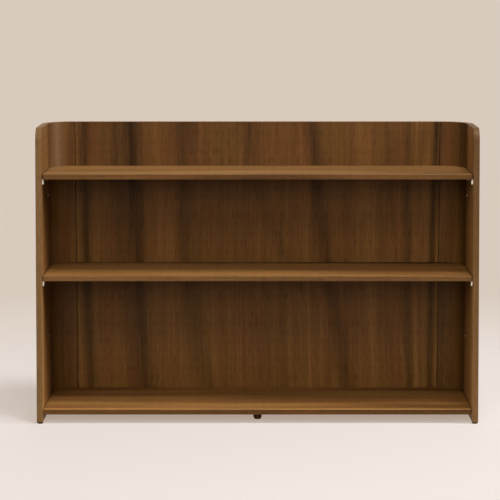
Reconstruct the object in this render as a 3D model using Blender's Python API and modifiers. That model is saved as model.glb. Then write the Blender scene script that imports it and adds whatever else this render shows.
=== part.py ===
"""Low walnut bookcase for a child's room.

Two raked sides, two quarter-round rear corners and a back panel form a U-shaped shell.
The bottom shelf is fixed, two upper shelves lie loose on pins, and a foot that screws
up and down carries the middle of the bottom shelf. Metres, +Z up, the front faces -Y,
and the origin is on the floor at the middle of the width and depth.
"""
import bpy
import bmesh
from math import cos, pi, sin, tan
from mathutils import Matrix, Vector

# Shell
WIDTH = 1.220
DEPTH = 0.317               # at the foot of the sides
TOP_DEPTH = 0.256           # at the top of the sides, whose front edges lean back
PANEL = 0.017               # thickness of sides, corners and back
CORNER_RADIUS = 0.070       # inside of the rear corners
BROW_RADIUS = 0.035         # top front corner of each side
PANEL_ARRIS = 0.0010        # eased edges of the panels
SIDE_SEAM = 0.0004          # gap between a side and its corner
BACK_SEAM = 0.0012          # gap between a corner and the back

# Heights, from the floor up
GLIDE_HEIGHT = 0.004        # floor to the underside of the panels
TOE_SPACE = 0.025           # floor to the underside of the bottom shelf
LOWER_BAY = 0.3535
MIDDLE_BAY = 0.2645
TOP_BAY = 0.126             # from the top shelf to the top of the back

# Shelves
SHELF = 0.015
SHELF_ARRIS = 0.0020        # rounded edges of the shelves
SHELF_SETBACK = 0.003       # behind the sides' front edges
LOOSE_GAP = 0.002           # round a loose shelf
FIXED_GAP = 0.001           # round the bottom shelf

# Shelf pins
PIN_PEG_RADIUS = 0.0025
PIN_PEG_LENGTH = 0.009
PIN_HEAD_THICKNESS = 0.005
PIN_HEAD_WIDTH = 0.009
PIN_HEAD_HEIGHT = 0.0135
PIN_HEAD_ARRIS = 0.0012
PIN_PEG_DROP = 0.005        # top of a pin's head to the axis of its peg
PIN_FRONT_INSET = 0.012     # behind a side's front edge
PIN_REAR_INSET = 0.058      # in front of the side seam
PIN_HOLE_PITCH = 0.032      # spare holes above and below each pin

# Loose tongues in the seams, and the screws that lock them
SPLINE = 0.005
SPLINE_IN_FLAT = 0.040      # depth in a side or in the back
SPLINE_IN_CORNER = 0.014
SPLINE_STOP = 0.030         # end of a tongue below the top
LOCK_INSET = 0.027          # screw to seam
LOCK_ABOVE_FLOOR = 0.209
LOCK_BELOW_TOP = 0.201
LOCK_HEAD_RADIUS = 0.004
LOCK_HEAD_HEIGHT = 0.0028
LOCK_SHANK_RADIUS = 0.002
LOCK_SKIN = 0.004           # wood left beyond a screw's point

# Bottom shelf fixings
FIXING_END_INSET = 0.045    # outer fixing to the front or rear end of the flat side
DOWEL_OFFSET = 0.032        # dowel to its cam bolt
FIXING_SKIN = 0.006         # wood left beyond a dowel or bolt in a side
DOWEL_RADIUS = 0.004
DOWEL_IN_SHELF = 0.019
CAM_RADIUS = 0.0075
CAM_INSET = 0.024           # cam axis to the end of the shelf
CAM_SKIN = 0.003            # wood left above a cam
CAM_SLOT_WIDTH = 0.0016
CAM_SLOT_LENGTH = 0.009
CAM_SLOT_DEPTH = 0.0018
BOLT_RADIUS = 0.003
BOLT_HEAD_RADIUS = 0.0033
BOLT_HEAD_LENGTH = 0.003
BOLT_NECK_RADIUS = 0.0022
BOLT_NECK_LENGTH = 0.008
BACK_SCREW_SPACING = 0.350
BACK_SCREW_HEAD_RADIUS = 0.0045
BACK_SCREW_HEAD_HEIGHT = 0.003
BACK_SCREW_SHANK_RADIUS = 0.0025
BACK_SCREW_IN_SHELF = 0.032

# Centre foot
FOOT_SETBACK = 0.070        # foot axis behind the front of the sides
FOOT_RADIUS = 0.0115
FOOT_LOWER_ROUND = 0.004
FOOT_GAP = 0.0005           # under the shelf when the foot is screwed right in
STUD_RADIUS = 0.004
STUD_IN_INSERT = 0.0105
STUD_IN_FOOT = 0.012
STUD_CLEARANCE = 0.00015
INSERT_RADIUS = 0.006
INSERT_SKIN = 0.003         # wood left above the insert
PAD_RADIUS = 0.0095
PAD_HEIGHT = 0.0025
PAD_STUB_RADIUS = 0.003
PAD_STUB_LENGTH = 0.005

# Glides
GLIDE_RADIUS = 0.008
GLIDE_CHAMFER = 0.0008
GLIDE_INSET = 0.0105        # glide axis behind the front of the sides
NAIL_RADIUS = 0.00125
NAIL_LENGTH = 0.014

FIT = 0.0003                # gap between pieces that touch
OVERCUT = 0.002             # how far a cutter runs out of its face
ARC_STEPS = 16              # for a quarter turn
BROW_STEPS = 8
ARRIS_STEPS = 2
TURN_STEPS = 12             # small hardware and its holes
FOOT_STEPS = 24             # foot and glides
DOME_STEPS = 3

# Derived levels and planes
BOTTOM_SHELF_TOP = TOE_SPACE + SHELF
MIDDLE_SHELF_TOP = BOTTOM_SHELF_TOP + LOWER_BAY + SHELF
TOP_SHELF_TOP = MIDDLE_SHELF_TOP + MIDDLE_BAY + SHELF
HEIGHT = TOP_SHELF_TOP + TOP_BAY
FRONT = -DEPTH / 2
BACK = DEPTH / 2
BACK_INSIDE = BACK - PANEL
BACK_MIDDLE = BACK - PANEL / 2
SIDE_INSIDE = WIDTH / 2 - PANEL
SIDE_MIDDLE = WIDTH / 2 - PANEL / 2
SEAM_X = SIDE_INSIDE - CORNER_RADIUS
SEAM_Y = BACK_INSIDE - CORNER_RADIUS
SPLINE_TOP = HEIGHT - SPLINE_STOP
LOCK_LEVELS = {"lower": LOCK_ABOVE_FLOOR, "upper": HEIGHT - LOCK_BELOW_TOP}
FIXING_LEVEL = TOE_SPACE + SHELF / 2
FIXING_DEPTH = PANEL - FIXING_SKIN
CAM_HEIGHT = SHELF - CAM_SKIN
CAM_X = SIDE_INSIDE - FIXED_GAP - CAM_INSET
FOOT_Y = FRONT + FOOT_SETBACK
PIN_REAR_Y = SEAM_Y - PIN_REAR_INSET
CAM_Y = {"front": FRONT + FIXING_END_INSET, "rear": SEAM_Y - FIXING_END_INSET - DOWEL_OFFSET}
BACK_SCREW_X = {"left": -BACK_SCREW_SPACING, "centre": 0.0, "right": BACK_SCREW_SPACING}
SIDES = {"left": -1, "right": 1}
LOOSE_SHELVES = {"middle": MIDDLE_SHELF_TOP, "top": TOP_SHELF_TOP}


def front_at(z):
    """Y of the sides' raked front edge at a height."""
    rise = (z - GLIDE_HEIGHT) / (HEIGHT - GLIDE_HEIGHT)
    return FRONT + rise * (DEPTH - TOP_DEPTH)


def new_collection(name):
    collection = bpy.data.collections.new(name)
    bpy.context.scene.collection.children.link(collection)
    return collection


def new_material(name, color, roughness, metallic=0.0):
    material = bpy.data.materials.new(name)
    material.use_nodes = True
    shader = material.node_tree.nodes["Principled BSDF"]
    shader.inputs["Base Color"].default_value = (*color, 1.0)
    shader.inputs["Roughness"].default_value = roughness
    shader.inputs["Metallic"].default_value = metallic
    return material


def add_part(name, mesh, material, place=Matrix()):
    """Link a mesh as one piece of the bookcase."""
    part = bpy.data.objects.new(name, mesh)
    part.matrix_world = place
    part.data.materials.clear()
    part.data.materials.append(material)
    PARTS.objects.link(part)
    return part


def facing(direction, point):
    """Placement at a point that turns a piece's own +Z to a direction."""
    turn = Vector(direction).to_track_quat("Z", "Y").to_matrix().to_4x4()
    return Matrix.Translation(point) @ turn


def arc(centre, radius, start, end, steps):
    """Points of an arc, angles in radians."""
    angles = [start + (end - start) * i / steps for i in range(steps + 1)]
    return [(centre[0] + radius * cos(a), centre[1] + radius * sin(a)) for a in angles]


def rounded_corner(before, corner, after, radius, steps):
    """Arc that rounds the corner of an outline."""
    corner = Vector(corner)
    to_before = (Vector(before) - corner).normalized()
    to_after = (Vector(after) - corner).normalized()
    half_angle = to_before.angle(to_after) / 2
    reach = radius / tan(half_angle)
    centre = corner + (to_before + to_after).normalized() * radius / sin(half_angle)
    first = corner + to_before * reach - centre
    last = corner + to_after * reach - centre
    points = []
    for i in range(steps + 1):
        spoke = first.normalized().slerp(last.normalized(), i / steps)
        points.append(tuple(centre + spoke * radius))
    return points


def slab(name, outline, thickness):
    """Flat board: a closed outline in XY, thick along Z about zero."""
    curve = bpy.data.curves.new(name, "CURVE")
    curve.dimensions = "2D"
    curve.fill_mode = "BOTH"
    curve.extrude = thickness / 2
    spline = curve.splines.new("POLY")
    spline.points.add(len(outline) - 1)
    for point, (x, y) in zip(spline.points, outline):
        point.co = (x, y, 0.0, 1.0)
    spline.use_cyclic_u = True
    board = bpy.data.objects.new(name, curve)
    CUTTERS.objects.link(board)
    evaluated = board.evaluated_get(bpy.context.evaluated_depsgraph_get())
    mesh = bpy.data.meshes.new_from_object(evaluated)
    bpy.data.objects.remove(board)
    form = bmesh.new()
    form.from_mesh(mesh)
    bmesh.ops.remove_doubles(form, verts=form.verts, dist=1e-5)
    bmesh.ops.dissolve_limit(form, angle_limit=pi / 720, verts=form.verts, edges=form.edges)
    bmesh.ops.recalc_face_normals(form, faces=form.faces)
    form.to_mesh(mesh)
    form.free()
    mesh.name = name
    return mesh


def ease_edges(part, width):
    """Round the sharp edges of a board."""
    bevel = part.modifiers.new("eased_edges", "BEVEL")
    bevel.width = width
    bevel.segments = ARRIS_STEPS
    bevel.limit_method = "ANGLE"
    bevel.angle_limit = pi / 6
    part.data.shade_smooth()
    part.data.set_sharp_from_angle(angle=pi / 6)


def add_rod(form, start, end, radius, steps=TURN_STEPS):
    """Closed cylinder from one point to another."""
    start = Vector(start)
    axis = Vector(end) - start
    place = facing(axis, start + axis / 2)
    bmesh.ops.create_cone(form, cap_ends=True, segments=steps, radius1=radius,
                          radius2=radius, depth=axis.length, matrix=place)


def add_block(form, low, high):
    """Closed box between two corners."""
    low = Vector(low)
    high = Vector(high)
    place = Matrix.Translation((low + high) / 2) @ Matrix.Diagonal((*(high - low), 1.0))
    bmesh.ops.create_cube(form, size=1.0, matrix=place)


def cut(part, name, form):
    """Cut the shapes in a bmesh out of a part."""
    mesh = bpy.data.meshes.new(name)
    form.to_mesh(mesh)
    form.free()
    cutter = bpy.data.objects.new(name, mesh)
    cutter.hide_render = True
    cutter.display_type = "WIRE"
    CUTTERS.objects.link(cutter)
    boolean = part.modifiers.new(name, "BOOLEAN")
    boolean.operation = "DIFFERENCE"
    boolean.solver = "EXACT"
    boolean.object = cutter
    return cutter


def baked(part):
    """Mesh of an object with its modifiers applied; the object and its cutters go."""
    evaluated = part.evaluated_get(bpy.context.evaluated_depsgraph_get())
    mesh = bpy.data.meshes.new_from_object(evaluated)
    for modifier in part.modifiers:
        if modifier.type == "BOOLEAN":
            bpy.data.objects.remove(modifier.object)
    bpy.data.objects.remove(part)
    return mesh


def turned_profile(name, points):
    """Half section of a turned piece, in XZ from the top down its outer side."""
    mesh = bpy.data.meshes.new(name)
    links = [(i, i + 1) for i in range(len(points) - 1)]
    mesh.from_pydata([(x, 0.0, z) for x, z in points], links, [])
    return mesh


def add_turned(name, profile, material, place, steps=TURN_STEPS):
    """Piece made by turning a half section round its own Z axis."""
    part = add_part(name, profile, material, place)
    turn = part.modifiers.new("turned", "SCREW")
    turn.axis = "Z"
    turn.steps = steps
    turn.render_steps = steps
    turn.use_merge_vertices = True
    turn.merge_threshold = 1e-5
    turn.use_smooth_shade = True
    return part


def screw_profile(name, head_radius, head_height, shank_radius, shank_length):
    """Dome-headed wood screw: the underside of the head is at zero, the point is down."""
    dome = [(head_radius * sin(a), head_height * cos(a))
            for a in (pi / 2 * i / DOME_STEPS for i in range(DOME_STEPS + 1))]
    point_length = 2 * shank_radius
    shank = [(shank_radius, 0.0), (shank_radius, point_length - shank_length), (0.0, -shank_length)]
    return turned_profile(name, dome + shank)


def side_panel(name, side):
    """Flat side with a leaning front edge and a round top front corner."""
    rear = SEAM_Y - SIDE_SEAM
    rear_top = (rear, HEIGHT)
    front_top = (front_at(HEIGHT), HEIGHT)
    front_foot = (FRONT, GLIDE_HEIGHT)
    brow = rounded_corner(front_foot, front_top, rear_top, BROW_RADIUS, BROW_STEPS)
    outline = [(rear, GLIDE_HEIGHT), front_foot, *brow, rear_top]
    upright = Matrix.Rotation(pi / 2, 4, "Z") @ Matrix.Rotation(pi / 2, 4, "X")
    place = Matrix.Translation((side * SIDE_MIDDLE, 0.0, 0.0)) @ upright
    panel = add_part(name, slab(name, outline, PANEL), WALNUT, place)
    ease_edges(panel, PANEL_ARRIS)

    inside = side * SIDE_INSIDE
    mouth = inside - side * OVERCUT

    def bore(form, y, z, radius, depth):
        add_rod(form, (mouth, y, z), (inside + side * (depth + FIT), y, z), radius + FIT)

    groove = bmesh.new()
    add_block(groove, (side * SIDE_MIDDLE - SPLINE / 2 - FIT, SEAM_Y - SPLINE_IN_FLAT - FIT,
                       GLIDE_HEIGHT - OVERCUT),
              (side * SIDE_MIDDLE + SPLINE / 2 + FIT, SEAM_Y + OVERCUT, SPLINE_TOP + FIT))
    cut(panel, name + "_groove", groove)

    holes = bmesh.new()
    for level in LOCK_LEVELS.values():
        bore(holes, SEAM_Y - LOCK_INSET, level, LOCK_SHANK_RADIUS, PANEL - LOCK_SKIN)
    for shelf_top in LOOSE_SHELVES.values():
        for y in pin_places(shelf_top).values():
            for spare in (-1, 0, 1):
                z = peg_level(shelf_top) + spare * PIN_HOLE_PITCH
                bore(holes, y, z, PIN_PEG_RADIUS, PIN_PEG_LENGTH)
    for y in CAM_Y.values():
        bore(holes, y, FIXING_LEVEL, BOLT_RADIUS, FIXING_DEPTH)
        bore(holes, y + DOWEL_OFFSET, FIXING_LEVEL, DOWEL_RADIUS, FIXING_DEPTH)
    nail_hole(holes, (side * SIDE_MIDDLE, FRONT + GLIDE_INSET))
    cut(panel, name + "_holes", holes)


def nail_hole(form, point):
    """Hole for a glide's nail in the underside of a panel."""
    add_rod(form, (*point, GLIDE_HEIGHT - OVERCUT), (*point, GLIDE_HEIGHT + NAIL_LENGTH + FIT),
            NAIL_RADIUS + FIT)


def corner_middle(side):
    """Middle of a rear corner, in plan."""
    reach = (CORNER_RADIUS + PANEL / 2) * cos(pi / 4)
    return side * (SEAM_X + reach), SEAM_Y + reach


def corner_panel(name, side):
    """Quarter-round rear corner between a side and the back."""
    centre = (SEAM_X, SEAM_Y)
    outer = arc(centre, CORNER_RADIUS + PANEL, 0.0, pi / 2, ARC_STEPS)
    inner = arc(centre, CORNER_RADIUS, pi / 2, 0.0, ARC_STEPS)
    outline = [(side * x, y) for x, y in outer + inner]
    middle = (GLIDE_HEIGHT + HEIGHT) / 2
    place = Matrix.Translation((0.0, 0.0, middle))
    panel = add_part(name, slab(name, outline, HEIGHT - GLIDE_HEIGHT), WALNUT, place)
    ease_edges(panel, PANEL_ARRIS)

    form = bmesh.new()
    half = SPLINE / 2 + FIT
    foot = GLIDE_HEIGHT - OVERCUT
    top = SPLINE_TOP + FIT
    deep = SPLINE_IN_CORNER + FIT
    add_block(form, (side * SIDE_MIDDLE - half, SEAM_Y - OVERCUT, foot),
              (side * SIDE_MIDDLE + half, SEAM_Y + deep, top))
    seam_ends = sorted((side * (SEAM_X - OVERCUT), side * (SEAM_X + deep)))
    add_block(form, (seam_ends[0], BACK_MIDDLE - half, foot),
              (seam_ends[1], BACK_MIDDLE + half, top))
    nail_hole(form, corner_middle(side))
    cut(panel, name + "_cuts", form)


def back_panel():
    """Flat back between the two corners."""
    form = bmesh.new()
    edge = SEAM_X - BACK_SEAM
    add_block(form, (-edge, BACK_INSIDE, GLIDE_HEIGHT), (edge, BACK, HEIGHT))
    mesh = bpy.data.meshes.new("back_panel")
    form.to_mesh(mesh)
    form.free()
    panel = add_part("back_panel", mesh, WALNUT)
    ease_edges(panel, PANEL_ARRIS)

    recesses = bmesh.new()
    holes = bmesh.new()
    half = SPLINE / 2 + FIT
    for side in SIDES.values():
        ends = sorted((side * (SEAM_X - SPLINE_IN_FLAT - FIT), side * (SEAM_X + OVERCUT)))
        add_block(recesses, (ends[0], BACK_MIDDLE - half, GLIDE_HEIGHT - OVERCUT),
                  (ends[1], BACK_MIDDLE + half, SPLINE_TOP + FIT))
        x = side * (SEAM_X - LOCK_INSET)
        for z in LOCK_LEVELS.values():
            head_recess(recesses, x, z, LOCK_HEAD_RADIUS, LOCK_HEAD_HEIGHT)
            point = BACK_INSIDE + LOCK_SKIN - FIT
            add_rod(holes, (x, BACK, z), (x, point, z), LOCK_SHANK_RADIUS + FIT)
    for x in BACK_SCREW_X.values():
        head_recess(recesses, x, FIXING_LEVEL, BACK_SCREW_HEAD_RADIUS, BACK_SCREW_HEAD_HEIGHT)
        add_rod(holes, (x, BACK, FIXING_LEVEL), (x, BACK_INSIDE - OVERCUT, FIXING_LEVEL),
                BACK_SCREW_SHANK_RADIUS + FIT)
    cut(panel, "back_panel_recesses", recesses)
    cut(panel, "back_panel_holes", holes)


def head_recess(form, x, z, head_radius, head_height):
    """Flat-bottomed hole in the rear face, so that a screw's head stays below it."""
    add_rod(form, (x, BACK + OVERCUT, z), (x, BACK - head_height - FIT, z), head_radius + FIT)


def shelf_board(name, top, gap):
    """Board with round rear corners that follows the inside of the shell."""
    front = front_at(top) + SHELF_SETBACK
    end = SIDE_INSIDE - gap
    right = arc((SEAM_X, SEAM_Y), CORNER_RADIUS - gap, 0.0, pi / 2, ARC_STEPS)
    left = [(-x, y) for x, y in reversed(right)]
    outline = [(-end, front), (end, front), *right, *left]
    place = Matrix.Translation((0.0, 0.0, top - SHELF / 2))
    shelf = add_part(name, slab(name, outline, SHELF), WALNUT_SHELF, place)
    ease_edges(shelf, SHELF_ARRIS)
    return shelf


def bottom_shelf():
    """Fixed shelf, bored for cams, bolts, dowels, rear screws and the foot's insert."""
    shelf = shelf_board("bottom_shelf", BOTTOM_SHELF_TOP, FIXED_GAP)
    under = TOE_SPACE - OVERCUT
    sockets = bmesh.new()
    bores = bmesh.new()
    for side in SIDES.values():
        mouth = side * (SIDE_INSIDE + OVERCUT)
        for y in CAM_Y.values():
            cam = (side * CAM_X, y)
            add_rod(sockets, (*cam, under), (*cam, TOE_SPACE + CAM_HEIGHT + FIT), CAM_RADIUS + FIT)
            add_rod(bores, (mouth, y, FIXING_LEVEL), (side * CAM_X, y, FIXING_LEVEL),
                    BOLT_HEAD_RADIUS + FIT)
            dowel_end = side * (SIDE_INSIDE - FIXED_GAP - DOWEL_IN_SHELF - FIT)
            add_rod(bores, (mouth, y + DOWEL_OFFSET, FIXING_LEVEL),
                    (dowel_end, y + DOWEL_OFFSET, FIXING_LEVEL), DOWEL_RADIUS + FIT)
    rear = BACK_INSIDE - FIXED_GAP
    for x in BACK_SCREW_X.values():
        add_rod(bores, (x, BACK_INSIDE + OVERCUT, FIXING_LEVEL),
                (x, rear - BACK_SCREW_IN_SHELF - FIT, FIXING_LEVEL), BACK_SCREW_SHANK_RADIUS + FIT)
    add_rod(sockets, (0.0, FOOT_Y, under), (0.0, FOOT_Y, TOE_SPACE + SHELF - INSERT_SKIN + FIT),
            INSERT_RADIUS + FIT)
    cut(shelf, "bottom_shelf_sockets", sockets)
    cut(shelf, "bottom_shelf_bores", bores)


def pin_places(shelf_top):
    """Y of the front and rear pins under a loose shelf."""
    return {"front": front_at(shelf_top) + PIN_FRONT_INSET, "rear": PIN_REAR_Y}


def peg_level(shelf_top):
    return shelf_top - SHELF - FIT - PIN_PEG_DROP


def pin_mesh():
    """Shelf pin: a flat-topped head with a peg along +X; zero is on the peg at the panel."""
    form = bmesh.new()
    add_block(form, (-PIN_HEAD_THICKNESS - FIT, -PIN_HEAD_WIDTH / 2, PIN_PEG_DROP - PIN_HEAD_HEIGHT),
              (-FIT, PIN_HEAD_WIDTH / 2, PIN_PEG_DROP))
    mesh = bpy.data.meshes.new("shelf_pin")
    form.to_mesh(mesh)
    form.free()
    head = bpy.data.objects.new("shelf_pin", mesh)
    CUTTERS.objects.link(head)
    ease_edges(head, PIN_HEAD_ARRIS)
    peg = bmesh.new()
    add_rod(peg, (-PIN_HEAD_THICKNESS / 2, 0.0, 0.0), (PIN_PEG_LENGTH, 0.0, 0.0), PIN_PEG_RADIUS)
    cut(head, "shelf_pin_peg", peg)
    head.modifiers["shelf_pin_peg"].operation = "UNION"
    return baked(head)


def shelf_pins():
    mesh = pin_mesh()
    for shelf, top in LOOSE_SHELVES.items():
        for hand, side in SIDES.items():
            for end, y in pin_places(top).items():
                turn = Matrix.Rotation(0.0 if side > 0 else pi, 4, "Z")
                place = Matrix.Translation((side * SIDE_INSIDE, y, peg_level(top))) @ turn
                add_part(f"{shelf}_shelf_pin_{hand}_{end}", mesh, NICKEL, place)


def splines():
    """Loose tongues that bridge the seams of the shell."""
    for hand, side in SIDES.items():
        low = (side * SIDE_MIDDLE - SPLINE / 2, SEAM_Y - SPLINE_IN_FLAT, GLIDE_HEIGHT + FIT)
        high = (side * SIDE_MIDDLE + SPLINE / 2, SEAM_Y + SPLINE_IN_CORNER, SPLINE_TOP)
        across = Vector((SPLINE, 0.0, 0.0))
        tongue(f"{hand}_side_spline", low, high, (side * SIDE_MIDDLE, SEAM_Y - LOCK_INSET), across)
        ends = sorted((side * (SEAM_X - SPLINE_IN_FLAT), side * (SEAM_X + SPLINE_IN_CORNER)))
        low = (ends[0], BACK_MIDDLE - SPLINE / 2, GLIDE_HEIGHT + FIT)
        high = (ends[1], BACK_MIDDLE + SPLINE / 2, SPLINE_TOP)
        across = Vector((0.0, SPLINE, 0.0))
        tongue(f"{hand}_back_spline", low, high, (side * (SEAM_X - LOCK_INSET), BACK_MIDDLE), across)


def tongue(name, low, high, screw, across):
    """One tongue, with holes across it for its two lock screws."""
    form = bmesh.new()
    add_block(form, low, high)
    mesh = bpy.data.meshes.new(name)
    form.to_mesh(mesh)
    form.free()
    part = add_part(name, mesh, PLYWOOD)
    holes = bmesh.new()
    for level in LOCK_LEVELS.values():
        middle = Vector((*screw, level))
        add_rod(holes, middle - across, middle + across, LOCK_SHANK_RADIUS + FIT)
    cut(part, name + "_holes", holes)


def lock_screws():
    """Screws through the tongues: from inside at the sides, sunk in the rear at the back."""
    proud = screw_profile("side_lock_screw", LOCK_HEAD_RADIUS, LOCK_HEAD_HEIGHT, LOCK_SHANK_RADIUS,
                          PANEL - LOCK_SKIN + FIT)
    sunk = screw_profile("back_lock_screw", LOCK_HEAD_RADIUS, LOCK_HEAD_HEIGHT, LOCK_SHANK_RADIUS,
                         PANEL - LOCK_SKIN - LOCK_HEAD_HEIGHT)
    for hand, side in SIDES.items():
        for end, level in LOCK_LEVELS.items():
            at_side = (side * (SIDE_INSIDE - FIT), SEAM_Y - LOCK_INSET, level)
            add_turned(f"{hand}_side_lock_screw_{end}", proud, NICKEL, facing((-side, 0.0, 0.0), at_side))
            at_back = (side * (SEAM_X - LOCK_INSET), BACK - LOCK_HEAD_HEIGHT, level)
            add_turned(f"{hand}_back_lock_screw_{end}", sunk, NICKEL, facing((0.0, 1.0, 0.0), at_back))


def back_screws():
    """Screws through the back into the rear edge of the bottom shelf."""
    length = BACK - BACK_SCREW_HEAD_HEIGHT - (BACK_INSIDE - FIXED_GAP - BACK_SCREW_IN_SHELF)
    profile = screw_profile("back_screw", BACK_SCREW_HEAD_RADIUS, BACK_SCREW_HEAD_HEIGHT,
                            BACK_SCREW_SHANK_RADIUS, length)
    for name, x in BACK_SCREW_X.items():
        at = (x, BACK - BACK_SCREW_HEAD_HEIGHT, FIXING_LEVEL)
        add_turned(f"back_screw_{name}", profile, NICKEL, facing((0.0, 1.0, 0.0), at))


def cam_mesh():
    """Cam lock with a pocket for its bolt towards +X and a cross slot in its lower face."""
    form = bmesh.new()
    add_rod(form, (0.0, 0.0, 0.0), (0.0, 0.0, CAM_HEIGHT), CAM_RADIUS)
    mesh = bpy.data.meshes.new("cam")
    form.to_mesh(mesh)
    form.free()
    cam = bpy.data.objects.new("cam", mesh)
    CUTTERS.objects.link(cam)
    pocket = bmesh.new()
    axis = FIXING_LEVEL - TOE_SPACE
    add_rod(pocket, (-BOLT_HEAD_LENGTH / 2 - FIT, 0.0, axis), (CAM_RADIUS + OVERCUT, 0.0, axis),
            BOLT_HEAD_RADIUS + FIT)
    cut(cam, "cam_pocket", pocket)
    for name, (x, y) in {"cam_slot": (CAM_SLOT_LENGTH, CAM_SLOT_WIDTH),
                         "cam_cross_slot": (CAM_SLOT_WIDTH, CAM_SLOT_LENGTH)}.items():
        slot = bmesh.new()
        add_block(slot, (-x / 2, -y / 2, -OVERCUT), (x / 2, y / 2, CAM_SLOT_DEPTH))
        cut(cam, name, slot)
    return baked(cam)


def bottom_shelf_fixings():
    """Cams, cam bolts and dowels that hold the bottom shelf to the sides."""
    cam = cam_mesh()
    reach = FIXED_GAP + CAM_INSET + BOLT_HEAD_LENGTH / 2
    shoulder = reach - BOLT_HEAD_LENGTH - BOLT_NECK_LENGTH
    bolt = turned_profile("cam_bolt", [
        (0.0, reach), (BOLT_HEAD_RADIUS, reach), (BOLT_HEAD_RADIUS, reach - BOLT_HEAD_LENGTH),
        (BOLT_NECK_RADIUS, reach - BOLT_HEAD_LENGTH), (BOLT_NECK_RADIUS, shoulder),
        (BOLT_RADIUS, shoulder), (BOLT_RADIUS, -FIXING_DEPTH), (0.0, -FIXING_DEPTH)])
    dowel_top = FIXED_GAP + DOWEL_IN_SHELF
    dowel = turned_profile("dowel", [
        (0.0, dowel_top), (DOWEL_RADIUS, dowel_top), (DOWEL_RADIUS, -FIXING_DEPTH),
        (0.0, -FIXING_DEPTH)])
    for hand, side in SIDES.items():
        for end, y in CAM_Y.items():
            turn = Matrix.Rotation(0.0 if side > 0 else pi, 4, "Z")
            place = Matrix.Translation((side * CAM_X, y, TOE_SPACE)) @ turn
            add_part(f"cam_{hand}_{end}", cam, ZINC, place)
            inward = (-side, 0.0, 0.0)
            at_bolt = (side * SIDE_INSIDE, y, FIXING_LEVEL)
            add_turned(f"cam_bolt_{hand}_{end}", bolt, ZINC, facing(inward, at_bolt))
            at_dowel = (side * SIDE_INSIDE, y + DOWEL_OFFSET, FIXING_LEVEL)
            add_turned(f"dowel_{hand}_{end}", dowel, BEECH, facing(inward, at_dowel))


def glides():
    """Nailed plastic glides under the sides' fronts and under the corners."""
    top = GLIDE_HEIGHT - FIT
    profile = turned_profile("glide", [
        (0.0, top + NAIL_LENGTH), (NAIL_RADIUS, top + NAIL_LENGTH - 2 * NAIL_RADIUS), (NAIL_RADIUS, top),
        (GLIDE_RADIUS, top), (GLIDE_RADIUS, GLIDE_CHAMFER), (GLIDE_RADIUS - GLIDE_CHAMFER, 0.0),
        (0.0, 0.0)])
    for hand, side in SIDES.items():
        front = (side * SIDE_MIDDLE, FRONT + GLIDE_INSET, 0.0)
        add_turned(f"{hand}_front_glide", profile, GLIDE_PLASTIC, Matrix.Translation(front), FOOT_STEPS)
        rear = (*corner_middle(side), 0.0)
        add_turned(f"{hand}_corner_glide", profile, GLIDE_PLASTIC, Matrix.Translation(rear), FOOT_STEPS)


def centre_foot():
    """Foot on a threaded stud in an insert, with a pad that does not turn."""
    place = Matrix.Translation((0.0, FOOT_Y, 0.0))
    top = TOE_SPACE - FOOT_GAP
    base = PAD_HEIGHT + FIT
    socket = top - STUD_IN_FOOT
    round_centre = (FOOT_RADIUS - FOOT_LOWER_ROUND, base + FOOT_LOWER_ROUND)
    lower_round = arc(round_centre, FOOT_LOWER_ROUND, 0.0, -pi / 2, DOME_STEPS)
    stub_bore = PAD_STUB_RADIUS + FIT
    stub_end = PAD_HEIGHT + PAD_STUB_LENGTH + FIT
    foot = turned_profile("centre_foot", [
        (0.0, socket), (STUD_RADIUS + FIT, socket), (STUD_RADIUS + FIT, top), (FOOT_RADIUS, top),
        *lower_round, (stub_bore, base), (stub_bore, stub_end), (0.0, stub_end)])
    add_turned("centre_foot", foot, FOOT_PLASTIC, place, FOOT_STEPS)
    stud_top = TOE_SPACE + STUD_IN_INSERT
    stud = turned_profile("centre_foot_stud", [
        (0.0, stud_top), (STUD_RADIUS, stud_top), (STUD_RADIUS, socket + FIT), (0.0, socket + FIT)])
    add_turned("centre_foot_stud", stud, ZINC, place)
    bore = STUD_RADIUS + STUD_CLEARANCE
    insert_top = TOE_SPACE + SHELF - INSERT_SKIN
    insert = turned_profile("centre_foot_insert", [
        (bore, insert_top), (INSERT_RADIUS, insert_top), (INSERT_RADIUS, TOE_SPACE), (bore, TOE_SPACE),
        (bore, insert_top)])
    add_turned("centre_foot_insert", insert, ZINC, place)
    stub_top = PAD_HEIGHT + PAD_STUB_LENGTH
    pad = turned_profile("centre_foot_pad", [
        (0.0, stub_top), (PAD_STUB_RADIUS, stub_top), (PAD_STUB_RADIUS, PAD_HEIGHT),
        (PAD_RADIUS, PAD_HEIGHT), (PAD_RADIUS, 0.0), (0.0, 0.0)])
    add_turned("centre_foot_pad", pad, RUBBER, place, FOOT_STEPS)


for old in list(bpy.data.objects):
    bpy.data.objects.remove(old)

PARTS = new_collection("childrens_bookcase")
CUTTERS = new_collection("cutters")
WALNUT = new_material("walnut_upright", (0.150, 0.072, 0.027), 0.45)
WALNUT_SHELF = new_material("walnut_shelf", (0.190, 0.095, 0.036), 0.42)
PLYWOOD = new_material("birch_plywood", (0.62, 0.45, 0.27), 0.6)
BEECH = new_material("beech", (0.60, 0.40, 0.22), 0.6)
NICKEL = new_material("nickel", (0.78, 0.77, 0.74), 0.28, 1.0)
ZINC = new_material("zinc", (0.62, 0.62, 0.62), 0.40, 1.0)
GLIDE_PLASTIC = new_material("brown_plastic", (0.030, 0.016, 0.009), 0.5)
FOOT_PLASTIC = new_material("dark_foot_plastic", (0.022, 0.012, 0.008), 0.45)
RUBBER = new_material("rubber", (0.020, 0.018, 0.017), 0.8)

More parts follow.
